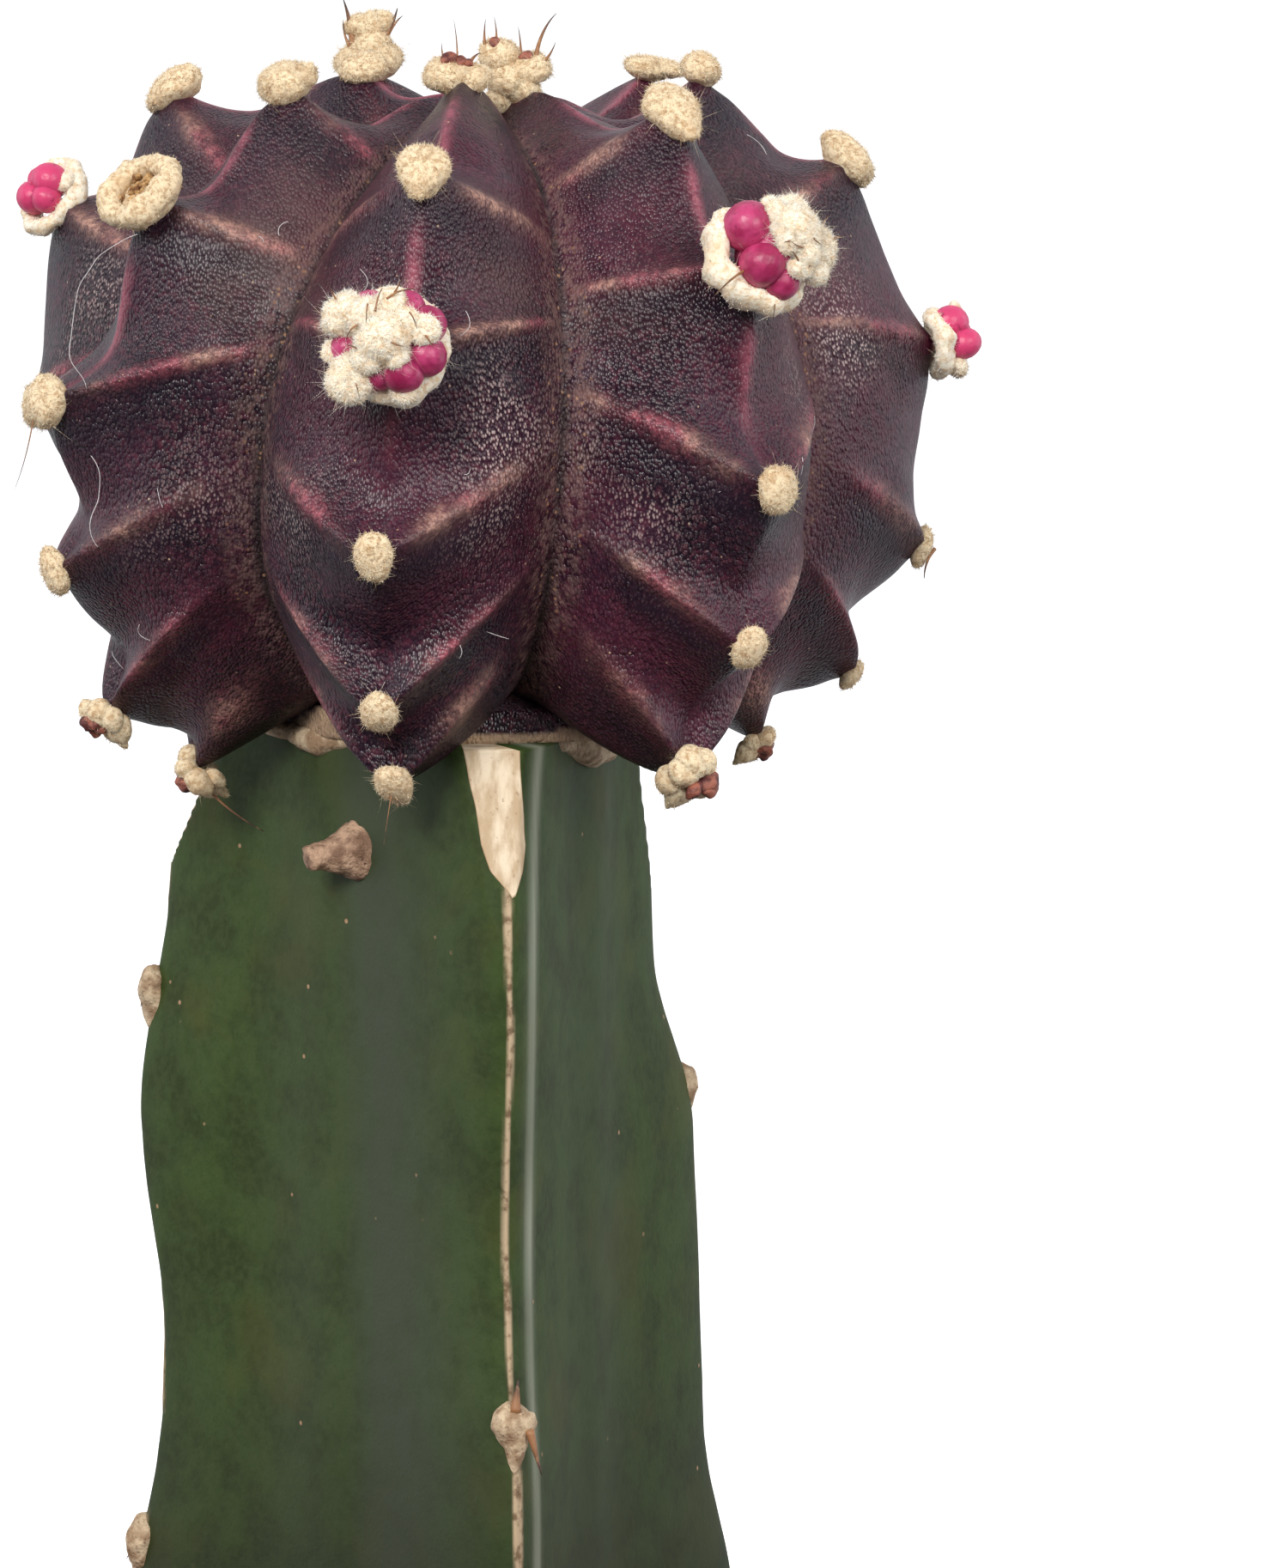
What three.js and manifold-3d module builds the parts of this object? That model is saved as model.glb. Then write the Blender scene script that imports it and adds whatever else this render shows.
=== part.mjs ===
// A potted moon cactus: a dark purple ribbed cactus head grafted on a three-sided green rootstock,
// standing in potting soil in a plain clay pot. Millimetres, +Z up, origin under the middle of the pot.
// The front of the plant looks along -Y, and an azimuth turns from there towards +X.

import * as THREE from 'three';
import { mergeVertices } from 'three/addons/utils/BufferGeometryUtils.js';
import Module from 'manifold-3d';

const wasm = await Module();
wasm.setup();

// Driving dimensions: the pot
const POT_HEIGHT = 62;
const RIM_RADIUS = 36;
const RIM_HEIGHT = 15;
const RIM_OVERHANG = 3.2;
const FOOT_RADIUS = 24;
const WALL = 4;
const FLOOR = 4.5;
const FOOT_RECESS = 1.5;
const DRAIN_RADIUS = 5;
const POT_SIDES = 40;

// Driving dimensions: the soil
const SOIL_TOP = 54;
const SOIL_GAP = 0.3;
const SOIL_GRAIN = 0.9;

// Driving dimensions: the rootstock
const GRAFT_Z = 116;
const STEM_FOOT_Z = 26;
const STEM_VALLEY_RADIUS = 8.6;
const STEM_BURIED_SCALE = 0.9;
const STEM_EDGE_BLUNT = 3;
const STEM_FLANK_POWER = 3;
const STEM_AREOLE_PITCH = 29;
const STEM_WAVE_PHASE = 0.2;
const STEM_SHOULDER_Z = -18;
const STEM_SHOULDER_REACH = 4.7;
const STEM_LOW_SHOULDER_Z = -44;
const STEM_LOW_SHOULDER_SHARE = 0.7;
const RIB_SPREAD = 60;

// The three ribs of the rootstock: their areoles as depths below the graft, how much slimmer they are
// above the shoulder, how they swell and widen downwards, and the bevelled cut at the top: its radius
// where it meets the rib's edge at the graft, its slope, and how far it is turned sideways.
const STEM_RIBS = [
  { azimuth: -109, radius: 16.45, wave: 0.8, flare: 0.01, shoulder: 0.3, areoles: [-14.5, -44.5],
    bevelTop: 10.9, bevelSlope: 0.6, bevelTurn: 0 },
  { azimuth: 12.5, radius: 16.6, wave: 0.5, flare: 0, shoulder: 0, areoles: [-34.8],
    bevelTop: 15, bevelSlope: 0.225, bevelTurn: -30 },
  { azimuth: 131, radius: 16.15, wave: 0, flare: 0.05, shoulder: 2.3, areoles: [-20.5, -49.5],
    bevelTop: 11.15, bevelSlope: 0.31, bevelTurn: -8 },
];

// Driving dimensions: the grafted head, measured from the graft plane
const HEAD_OFFSET_X = 2;
const GRAFT_GAP = 0.3;
const HEAD_CENTRE = 16.5;
const HEAD_VALLEY_RADIUS = 18.2;
const HEAD_VALLEY_UP = 15.6;
const HEAD_VALLEY_DOWN = 15.2;
const HEAD_BOTTOM_POWER = 2.35;
const HEAD_NECK_RADIUS = 10.4;
const HEAD_END_ANGLE = -66;
const RIB_COUNT = 7;
const RIB_HEIGHT = 5.4;
const RIB_FULLNESS = 1.2;
const AREOLE_DIP = 1.5;
const FLANK_DIP = 0.8;
const RIDGE_HEIGHT = 0.35;
const TUBERCLE_HEIGHT = 0.6;
const TUBERCLE_WIDTH = 2.4;
const DIP_WIDTH = 0.42;
const SAG_SKEW = 2.4;
const EVEN_LIFTS = [0, 0, 0, 0, 0, 0];
const EVEN_SAGS = [1, 1, 1, 1, 1, 1, 1];
const FULL_SAG_SPAN = 26;
const BOTTOM_TUCK = 0.4;
const ABOVE_FIRST_AREOLE = 28;
const BELOW_LAST_AREOLE = 24;
const MM_PER_DEGREE = 0.38;
const RIB_HALF_WIDTH = 8.5;

// A fold runs from each areole to the valleys. Below the shoulder of the head it rises on the way, so
// that the folds form chevrons. These are the rises at the valley, in degrees.
const SIDE_FOLD_RISE = 13;
const LOW_FOLD_RISE = 8;

// The seven ribs from the left side round to the back. Each lists its areoles as angles above the
// head's equator, from the crown down. lean slews the rib sideways, reach and lower make its upper
// and lower half stand out more. lifts are how much further each areole stands out, and sags how deep
// the crest dips above, between and below the areoles, as shares of the usual dip.
const HEAD_RIBS = [
  { azimuth: -106, lean: 3, reach: 1.28, lower: 0.8, areoles: [73, 47, 26.7, 0.5, -22, -43],
    lifts: [0, -0.2, 0.7, 0.1, 0, 0], sags: [1, 1, 1, 0.2, 1, 1, 1] },
  { azimuth: -63, lean: 14, reach: 0.98, lower: 1.09, areoles: [56.3, 31.4, 2.9, -18.6, -41.9, -57.6],
    lifts: [0, 0, 0.6, 0.1, 1, 0.5] },
  { azimuth: -10.6, lean: 5, reach: 1.04, lower: 1.14, areoles: [70, 36, 11.2, -14.2, -38.4, -54.2],
    lifts: [0, 0, 0, 0, 0.2, 0.6] },
  { azimuth: 38.7, lean: 0.7, reach: 0.99, lower: 1.13, areoles: [80.1, 48.1, 22.2, -6.2, -28.6, -51.4],
    lifts: [0, 0, 0, 0, 0, 0.6] },
  { azimuth: 95.6, lean: -0.2, reach: 1.04, lower: 1, areoles: [59.6, 36.8, 9.5, -17.1, -39.2, -57.1],
    lifts: [0, 0, -0.2, 0, 0, -0.4], sags: [1, 1, 0.2, 0.4, 1, 1, 1] },
  { azimuth: 143.8, lean: -16.4, reach: 1.04, lower: 1.05, areoles: [60.2, 40, 15, -11, -31, -50] },
  { azimuth: 205, lean: 13, reach: 1.02, lower: 1.05, areoles: [63, 33, 6, -17, -37, -53] },
];
const AREOLE_RADIUS = 1.5;
const AREOLE_HEIGHT = 0.9;
const CROWN_TUFT_RIB = 6;

// Offsets: small rosettes of lobes on an areole, each named by its rib and the areole it grows from.
const OFFSETS = [
  { name: 'offset_front', rib: 2, areole: 2, lobes: 6, ring: 2.1, lobe: 1.5 },
  { name: 'offset_right', rib: 3, areole: 2, lobes: 6, ring: 1.8, lobe: 1.35 },
  { name: 'offset_far_right', rib: 4, areole: 2, lobes: 5, ring: 1.2, lobe: 1.1 },
  { name: 'offset_left', rib: 0, areole: 2, lobes: 5, ring: 1.3, lobe: 1.1 },
];
const OFFSET_SEAT_RADIUS = 1.5;
const OFFSET_SEAT_DEPTH = 0.3;
const OFFSET_GAP = 0.3;

const radians = THREE.MathUtils.degToRad;
const { lerp, clamp, smoothstep } = THREE.MathUtils;

// Solids

function solidOf(geometry) {
  const bare = geometry.index ? geometry.toNonIndexed() : geometry.clone();
  const extra = Object.keys(bare.attributes).filter((name) => name !== 'position');
  extra.forEach((name) => bare.deleteAttribute(name));
  const merged = mergeVertices(bare, 1e-4);
  return new wasm.Manifold(new wasm.Mesh({
    numProp: 3,
    vertProperties: merged.attributes.position.array,
    triVerts: new Uint32Array(merged.index.array),
  }));
}

// A body with the details that grow from it.
function joined(body, details) {
  let solid = solidOf(body);
  for (const detail of details) {
    solid = solid.add(solidOf(detail));
  }
  return solid;
}

function geometryOf(solid) {
  const mesh = solid.getMesh();
  const corners = new THREE.BufferGeometry();
  corners.setAttribute('position', new THREE.BufferAttribute(new Float32Array(mesh.vertProperties), 3));
  corners.setIndex(new THREE.BufferAttribute(new Uint32Array(mesh.triVerts), 1));
  const geometry = corners.toNonIndexed();
  geometry.computeVertexNormals();
  return geometry;
}

// Closed surface from rings of points, from the top down, with a point or a fan at each end.
function ringsGeometry(rings, top, bottom) {
  const around = rings[0].length;
  const points = [top, ...rings.flat(), bottom];
  const triangles = [];
  const at = (row, column) => 1 + row * around + (column % around);
  const last = rings.length - 1;
  for (let c = 0; c < around; c++) {
    triangles.push(0, at(0, c), at(0, c + 1));
    triangles.push(points.length - 1, at(last, c + 1), at(last, c));
    for (let r = 0; r < last; r++) {
      triangles.push(at(r, c), at(r + 1, c), at(r + 1, c + 1));
      triangles.push(at(r, c), at(r + 1, c + 1), at(r, c + 1));
    }
  }
  const geometry = new THREE.BufferGeometry().setFromPoints(points);
  geometry.setIndex(triangles);
  return geometry;
}

function placed(geometry, position, outward) {
  const turn = new THREE.Quaternion().setFromUnitVectors(new THREE.Vector3(0, 0, 1), outward);
  return geometry.clone().applyQuaternion(turn).translate(position.x, position.y, position.z);
}

// A point at a radius and azimuth round an axis.
function polar(radius, azimuth, z) {
  return new THREE.Vector3(radius * Math.sin(azimuth), -radius * Math.cos(azimuth), z);
}

// The smallest turn from one azimuth to another, in degrees.
function turnTo(from, to) {
  return ((to - from + 540) % 360) - 180;
}

// A low round cushion on its own Z axis, with its lower part made to be sunk into what carries it.
function buttonGeometry(radius, height) {
  const sides = 7;
  const ring = (share, z) => Array.from({ length: sides }, (_, k) =>
    polar(share * radius, (k * 2 * Math.PI) / sides, z));
  const rings = [ring(0.62, 0.82 * height), ring(1, 0.3 * height), ring(0.8, -0.7 * height)];
  return ringsGeometry(rings, new THREE.Vector3(0, 0, height), new THREE.Vector3(0, 0, -0.8 * height));
}

// A slim curved spine with three sides, from its root to its tip.
function spineGeometry(root, direction, length, width, droop) {
  const steps = 3;
  const rings = [];
  const side = new THREE.Vector3(direction.y, -direction.x, 0.2).normalize();
  const across = new THREE.Vector3().crossVectors(direction, side).normalize();
  for (let s = 0; s < steps; s++) {
    const t = s / steps;
    const middle = root.clone().addScaledVector(direction, length * t);
    middle.z -= droop * t * t;
    rings.push([0, 1, 2].map((k) => {
      const angle = (k * 2 * Math.PI) / 3;
      const radius = width * (1 - 0.75 * t);
      const corner = middle.clone().addScaledVector(side, radius * Math.cos(angle));
      return corner.addScaledVector(across, radius * Math.sin(angle));
    }));
  }
  const tip = root.clone().addScaledVector(direction, length);
  tip.z -= droop;
  return ringsGeometry(rings.reverse(), tip, root.clone());
}

// Pot

function potWallRadius(z) {
  const shoulder = POT_HEIGHT - RIM_HEIGHT;
  return lerp(FOOT_RADIUS, RIM_RADIUS - RIM_OVERHANG, clamp(z / shoulder, 0, 1));
}

function potInnerRadius(z) {
  return lerp(FOOT_RADIUS - WALL, RIM_RADIUS - WALL - 0.8, clamp((z - FLOOR) / (POT_HEIGHT - FLOOR), 0, 1));
}

function potGeometry() {
  const shoulder = POT_HEIGHT - RIM_HEIGHT;
  const profile = [
    [DRAIN_RADIUS, FOOT_RECESS],
    [FOOT_RADIUS - 5, FOOT_RECESS],
    [FOOT_RADIUS - 4, 0],
    [FOOT_RADIUS - 0.9, 0],
    [FOOT_RADIUS + 0.1, 0.9],
    [potWallRadius(shoulder * 0.5), shoulder * 0.5],
    [potWallRadius(shoulder), shoulder - 0.6],
    [RIM_RADIUS - 1.1, shoulder],
    [RIM_RADIUS - 0.5, shoulder + 1],
    [RIM_RADIUS, POT_HEIGHT - 1.2],
    [RIM_RADIUS - 1, POT_HEIGHT],
    [potInnerRadius(POT_HEIGHT) + 1, POT_HEIGHT],
    [potInnerRadius(POT_HEIGHT - 1), POT_HEIGHT - 1],
    [potInnerRadius(FLOOR), FLOOR],
    [DRAIN_RADIUS, FLOOR],
    [DRAIN_RADIUS, FOOT_RECESS],
  ];
  const geometry = new THREE.LatheGeometry(profile.map(([r, z]) => new THREE.Vector2(r, z)), POT_SIDES);
  return geometry.rotateX(Math.PI / 2);
}

// Rootstock

// The outline radius of a three-ribbed section at a turn from its nearest rib, 0 to 60 degrees.
function stemSection(valley, edge, turn) {
  const blunted = (degrees) => Math.hypot(degrees, STEM_EDGE_BLUNT) - STEM_EDGE_BLUNT;
  const eased = blunted(turn) / blunted(RIB_SPREAD);
  return valley + (edge - valley) * Math.pow(1 - eased, STEM_FLANK_POWER);
}

// How far down the stretch from one areole to the next a height lies, from 0 to 1.
function stemPhase(rib, z) {
  const below = (rib.areoles[0] - z) / STEM_AREOLE_PITCH;
  return below - Math.floor(below);
}

function stemRadius(azimuthDegrees, z) {
  const turns = STEM_RIBS.map((other) => turnTo(other.azimuth, azimuthDegrees));
  const turn = turns.reduce((least, other) => (Math.abs(other) < Math.abs(least) ? other : least));
  const rib = STEM_RIBS[turns.indexOf(turn)];
  const wave = rib.wave * Math.cos(2 * Math.PI * (stemPhase(rib, z) - STEM_WAVE_PHASE));
  const buried = smoothstep(z, SOIL_TOP - GRAFT_Z + 2, SOIL_TOP - GRAFT_Z + 14);
  const above = (level) => smoothstep(z, level - STEM_SHOULDER_REACH, level + STEM_SHOULDER_REACH);
  const low = STEM_LOW_SHOULDER_SHARE * (1 - above(STEM_LOW_SHOULDER_Z));
  const shoulder = rib.shoulder * (above(STEM_SHOULDER_Z) - low);
  const grown = rib.radius - rib.flare * z + wave - shoulder;
  const edge = lerp(STEM_BURIED_SCALE * rib.radius, grown, buried);
  const valley = lerp(STEM_BURIED_SCALE, 1, buried) * STEM_VALLEY_RADIUS;
  const facing = Math.cos(radians(rib.bevelTurn)) / Math.max(Math.cos(radians(turn - rib.bevelTurn)), 0.2);
  const bevel = (rib.bevelTop - rib.bevelSlope * z) * facing;
  return Math.min(stemSection(valley, edge, Math.abs(turn)), bevel);
}

const STEM_TURNS = [-RIB_SPREAD, -42, -27, -16, -9, -3.5, 0, 3.5, 9, 16, 27, 42];

function stemRing(z, grow = 0) {
  return STEM_RIBS.flatMap((rib) => STEM_TURNS.map((turn) => {
    const azimuth = rib.azimuth + turn;
    return polar(stemRadius(azimuth, z) + grow, radians(azimuth), z);
  }));
}

function stemSolid() {
  const heights = [0, -1.5, -3, -4.5, -6, -7.5, -9];
  const foot = STEM_FOOT_Z - GRAFT_Z;
  for (let z = -12; z > SOIL_TOP - GRAFT_Z; z -= 3.8) {
    heights.push(z);
  }
  heights.push(SOIL_TOP - GRAFT_Z + 1.5, foot);
  const rings = heights.map((z) => stemRing(z));
  const body = ringsGeometry(rings, new THREE.Vector3(0, 0, 0), new THREE.Vector3(0, 0, foot));
  return joined(body, [...stemAreoles(), aerialRootStub()]);
}

// Corky areoles along each rib, each a low pad with short conical spines.
function stemAreoles() {
  return STEM_RIBS.flatMap((rib) => rib.areoles.flatMap((z) => {
    const outward = polar(1, radians(rib.azimuth), 0);
    const root = polar(stemRadius(rib.azimuth, z) - 0.25, radians(rib.azimuth), z);
    const side = new THREE.Vector3(-outward.y, outward.x, 0);
    const aim = outward.clone().addScaledVector(side, 0.7).add(new THREE.Vector3(0, 0, -1)).normalize();
    return [placed(buttonGeometry(1.25, 1.1), root, outward), spineGeometry(root, aim, 2.4, 0.4, 0)];
  }));
}

// A dried stub of an aerial root in the valley left of the front rib.
function aerialRootStub() {
  const azimuth = radians(-32);
  const outward = new THREE.Vector3(-0.85, -0.5, -0.05).normalize();
  const root = polar(STEM_VALLEY_RADIUS - 0.4, azimuth, -5.9);
  const stub = new THREE.CylinderGeometry(0.55, 1.4, 3.6, 8).rotateX(Math.PI / 2).translate(0, 0, 1.2);
  return placed(stub, root, outward);
}

// Soil

function soilSolid() {
  const ring = (radius, height) => Array.from({ length: POT_SIDES }, (_, k) =>
    polar(radius, (k * 2 * Math.PI) / POT_SIDES, height(k)));
  const bump = (r, k) => SOIL_GRAIN * Math.sin(r * 1.7 + k * 2.3) * Math.cos(k * 1.3 - r * 0.6);
  const surface = [0.2, 0.42, 0.6, 0.75, 0.88, 0.96].map((share) => {
    const r = share * (potInnerRadius(SOIL_TOP) - SOIL_GAP);
    return ring(r, (k) => SOIL_TOP + bump(r, k) - 1.2 * share ** 6);
  });
  const sides = [SOIL_TOP - 2.2, FLOOR].map((z) =>
    ring((potInnerRadius(z) - SOIL_GAP) * Math.cos(Math.PI / POT_SIDES), () => z));
  const top = new THREE.Vector3(0, 0, SOIL_TOP);
  const body = ringsGeometry([...surface, ...sides], top, new THREE.Vector3(0, 0, FLOOR));
  return solidOf(body).subtract(stemHole());
}

// The plain hole that the rootstock stands in, a little wider than its buried stretch.
function stemHole() {
  const z = STEM_FOOT_Z - GRAFT_Z;
  const outline = stemRing(z, SOIL_GAP).map((p) => new THREE.Vector2(p.x, p.y));
  const shape = new THREE.Shape(outline);
  const hole = new THREE.ExtrudeGeometry(shape, { depth: SOIL_TOP, bevelEnabled: false });
  return solidOf(hole.translate(0, 0, STEM_FOOT_Z));
}

// Grafted head

// The valley line of the head at an angle above its equator, with the way its ribs stand out.
function headValley(angle) {
  const c = Math.cos(angle);
  const s = Math.sin(angle);
  const power = s < 0 ? HEAD_BOTTOM_POWER : 2;
  const height = s < 0 ? HEAD_VALLEY_DOWN : HEAD_VALLEY_UP;
  const across = Math.pow(Math.max(c, 0), 2 / power);
  const along = Math.sign(s) * Math.pow(Math.abs(s), 2 / power);
  const out = new THREE.Vector2(
    Math.pow(across, power - 1) / HEAD_VALLEY_RADIUS,
    (Math.sign(s) * Math.pow(Math.abs(along), power - 1)) / height,
  ).normalize();
  out.x += s < 0 ? -BOTTOM_TUCK * s : 0;
  return { r: HEAD_VALLEY_RADIUS * across, z: HEAD_CENTRE + height * along, out: out.normalize() };
}

function ribAzimuth(rib, angle) {
  return rib.azimuth + rib.lean * Math.sin(angle);
}

function ribHeight(rib, angle) {
  const degrees = THREE.MathUtils.radToDeg(angle);
  const crown = smoothstep(90 - degrees, 2, 48);
  const base = smoothstep(degrees, HEAD_END_ANGLE, HEAD_END_ANGLE + 10);
  const swell = lerp(rib.reach, rib.lower, smoothstep(-degrees, -20, 30));
  return RIB_HEIGHT * swell * (0.2 + 0.8 * crown) * lerp(0.25, 1, base);
}

// How far, in degrees, the folds at an angle have risen by the time they reach the valley.
function foldRise(degrees) {
  const side = SIDE_FOLD_RISE * smoothstep(-degrees, -34, 2);
  const low = LOW_FOLD_RISE * smoothstep(-degrees, 15, 50);
  return (side + low) * smoothstep(degrees, HEAD_END_ANGLE, HEAD_END_ANGLE + 16);
}

// The stretch between two areoles of a rib that an angle lies in, and how far down it, from 0 to 1.
function areoleStretch(rib, degrees) {
  const { areoles } = rib;
  const stops = [areoles[0] + ABOVE_FIRST_AREOLE, ...areoles, areoles[5] - BELOW_LAST_AREOLE];
  const passed = stops.filter((stop) => degrees < stop).length;
  const k = clamp(passed - 1, 0, stops.length - 2);
  const span = stops[k] - stops[k + 1];
  return { k, span, share: clamp((stops[k] - degrees) / span, 0, 1) };
}

// How far the skin stands out from the valley line. across is 0 on the rib's crest and 1 in the valley.
// row is the angle in degrees at which the same row of skin crosses the crest.
function headRelief(rib, row, angle, across) {
  const { k, span, share } = areoleStretch(rib, row);
  const { lifts = EVEN_LIFTS, sags = EVEN_SAGS } = rib;
  const levels = [lifts[0], ...lifts, lifts[5]];
  const lift = lerp(levels[k], levels[k + 1], share);
  const sag = sags[k] * Math.sin(Math.PI * Math.pow(share, SAG_SKEW)) * Math.min(1, span / FULL_SAG_SPAN);
  const fade = smoothstep(90 - row, 4, 24) * smoothstep(row, HEAD_END_ANGLE, HEAD_END_ANGLE + 12);
  const away = Math.min(share, 1 - share) * span * MM_PER_DEGREE;
  const sideways = across * RIB_HALF_WIDTH * Math.max(0.25, Math.cos(angle));
  const ridge = RIDGE_HEIGHT * Math.exp(-((away / 0.8) ** 2)) * (1 - smoothstep(across, 0.6, 0.95));
  const tubercle = TUBERCLE_HEIGHT * Math.exp(-(away ** 2 + sideways ** 2) / TUBERCLE_WIDTH ** 2);
  const crestDip = AREOLE_DIP * sag * Math.exp(-((across / DIP_WIDTH) ** 2));
  const flankDip = FLANK_DIP * sag * (1 - across ** 4);
  const grown = (ribHeight(rib, angle) + lift) * (1 - Math.pow(across, RIB_FULLNESS));
  return grown + fade * (ridge + tubercle - crestDip - flankDip);
}

// A point of the skin on a rib's row, on the flank that faces the given neighbour.
function headPoint(rib, row, across = 0, neighbour = rib) {
  const angle = radians(row + foldRise(row) * across);
  const valley = headValley(angle);
  const relief = headRelief(rib, row, angle, across);
  const crest = ribAzimuth(rib, angle);
  const half = turnTo(crest, ribAzimuth(neighbour, angle)) / 2;
  const azimuth = radians(crest + half * across);
  return polar(valley.r + relief * valley.out.x, azimuth, valley.z + relief * valley.out.y);
}

// The tip of an areole's tubercle and the way it faces.
function areolePlace(ribIndex, areoleIndex) {
  const rib = HEAD_RIBS[ribIndex];
  const row = rib.areoles[areoleIndex];
  const { out } = headValley(radians(row));
  const outward = polar(out.x, radians(ribAzimuth(rib, radians(row))), out.y);
  return { tip: headPoint(rib, row), outward: outward.normalize() };
}

// The angles of a rib's rows: they keep a row on each areole, so that its ridge stays crisp.
function rowAngles(rib) {
  const stretch = (from, to, shares) => shares.map((share) => lerp(from, to, share));
  const { areoles } = rib;
  const crown = stretch(90, areoles[0], [0.4, 0.75, 1]);
  const between = areoles.slice(1).flatMap((angle, k) => stretch(areoles[k], angle, [0.25, 0.55, 0.82, 1]));
  const base = stretch(areoles[5], HEAD_END_ANGLE, [0.3, 0.65, 1]);
  return [...crown, ...between, ...base];
}

const COLUMNS = [-0.84, -0.62, -0.38, -0.16, 0, 0.16, 0.38, 0.62, 0.84, 1];

function headBody() {
  const rowSets = HEAD_RIBS.map(rowAngles);
  const rings = rowSets[0].map((_, row) => HEAD_RIBS.flatMap((rib, k) => COLUMNS.map((column) => {
    const across = Math.abs(column);
    const neighbour = (k + (column < 0 ? RIB_COUNT - 1 : 1)) % RIB_COUNT;
    const own = rowSets[k][row];
    const shared = (own + rowSets[neighbour][row]) / 2;
    return headPoint(rib, lerp(own, shared, smoothstep(across, 0.6, 1)), across, HEAD_RIBS[neighbour]);
  })));
  const neck = [1.1, 0].map((z) => rings[0].map((p) => polar(HEAD_NECK_RADIUS, Math.atan2(p.x, -p.y), z)));
  const apex = new THREE.Vector3(0, 0, headValley(Math.PI / 2).z + 0.4);
  return ringsGeometry([...rings, ...neck], apex, new THREE.Vector3(0, 0, 0));
}

// A woolly areole: a low faceted pad sunk into its tubercle.
function areolePad(ribIndex, areoleIndex, scale = 1) {
  const { tip, outward } = areolePlace(ribIndex, areoleIndex);
  return placed(buttonGeometry(AREOLE_RADIUS * scale, AREOLE_HEIGHT * scale), tip, outward);
}

// The round cushion that an offset grows from, with a flat top.
function offsetSeat(offset) {
  const { tip, outward } = areolePlace(offset.rib, offset.areole);
  const height = 2 * OFFSET_SEAT_DEPTH;
  const seat = new THREE.CylinderGeometry(OFFSET_SEAT_RADIUS, OFFSET_SEAT_RADIUS + 0.2, height, 12);
  return placed(seat.rotateX(Math.PI / 2), tip, outward);
}

// Two stout spines on each rib's first areole, and a thin drooping one low down.
function headSpines() {
  return HEAD_RIBS.flatMap((rib, k) => {
    const { tip, outward } = areolePlace(k, 0);
    const crown = [[-0.5, 0.5], [0.6, 0.3]].map(([turn, tilt]) => {
      const aim = outward.clone().add(new THREE.Vector3(turn * outward.y, -turn * outward.x, tilt));
      return spineGeometry(tip, aim.normalize(), 2.6, 0.26, -0.3);
    });
    const low = areolePlace(k, 4 + (k % 2));
    const hang = low.outward.clone().add(new THREE.Vector3(0, 0, -0.8)).normalize();
    return [...crown, spineGeometry(low.tip, hang, 3.4, 0.22, 0.6)];
  });
}

// The tall double tuft of wool on the back rib's first areole.
function crownTuft() {
  const { tip, outward } = areolePlace(CROWN_TUFT_RIB, 0);
  return [0.6, 2.2].map((rise) =>
    placed(new THREE.IcosahedronGeometry(1.35, 1), tip.clone().addScaledVector(outward, rise), outward));
}

function headSolid() {
  const seats = new Set(OFFSETS.map((offset) => `${offset.rib}:${offset.areole}`));
  const pads = HEAD_RIBS.flatMap((rib, k) => rib.areoles.map((_, n) => n)
    .filter((n) => !seats.has(`${k}:${n}`))
    .map((n) => areolePad(k, n, n < 2 ? 1 : 0.82)));
  const details = [...OFFSETS.map(offsetSeat), ...crownTuft(), ...headSpines(), ...pads];
  return joined(headBody(), details).subtract(graftClearance());
}

// The room that the top of the rootstock takes up, so that nothing of the head hangs into it.
function graftClearance() {
  const depth = 4;
  const outline = stemRing(-depth, GRAFT_GAP).map((p) => new THREE.Vector2(p.x - HEAD_OFFSET_X, p.y));
  const room = new THREE.ExtrudeGeometry(new THREE.Shape(outline), { depth, bevelEnabled: false });
  return solidOf(room.translate(0, 0, -depth));
}

// One offset: a ring of round lobes about a woolly middle, on a short flat foot.
function offsetSolid(offset) {
  const foot = new THREE.CylinderGeometry(OFFSET_SEAT_RADIUS, OFFSET_SEAT_RADIUS - 0.2, 1, 12);
  const rise = offset.lobe * 0.9;
  const lobes = Array.from({ length: offset.lobes }, (_, k) => {
    const place = polar(offset.ring, (k * 2 * Math.PI) / offset.lobes, rise + 0.25 * (k % 2));
    return new THREE.IcosahedronGeometry(offset.lobe, 1).translate(place.x, place.y, place.z);
  });
  const tuft = new THREE.IcosahedronGeometry(offset.ring * 0.95, 1).translate(0, 0, rise + 0.5 * offset.lobe);
  return joined(foot.rotateX(Math.PI / 2).translate(0, 0, 0.5), [...lobes, tuft]);
}

// Materials

const finishes = {
  clay: new THREE.MeshStandardMaterial({ color: 0xb5694a, roughness: 0.9, metalness: 0 }),
  soil: new THREE.MeshStandardMaterial({ color: 0x3a2a20, roughness: 1, metalness: 0 }),
  green: new THREE.MeshStandardMaterial({ color: 0x3a4f2b, roughness: 0.55, metalness: 0 }),
  purple: new THREE.MeshStandardMaterial({ color: 0x3b2430, roughness: 0.5, metalness: 0 }),
  pink: new THREE.MeshStandardMaterial({ color: 0xa62a5c, roughness: 0.45, metalness: 0 }),
};

function node(name, geometry, material) {
  const mesh = new THREE.Mesh(geometry, material);
  mesh.name = name;
  return mesh;
}

// Assembly

const plant = new THREE.Group();
plant.add(node('pot', potGeometry(), finishes.clay));
plant.add(node('soil', geometryOf(soilSolid()), finishes.soil));

const stem = node('rootstock', geometryOf(stemSolid()), finishes.green);
stem.position.z = GRAFT_Z;
plant.add(stem);

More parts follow.
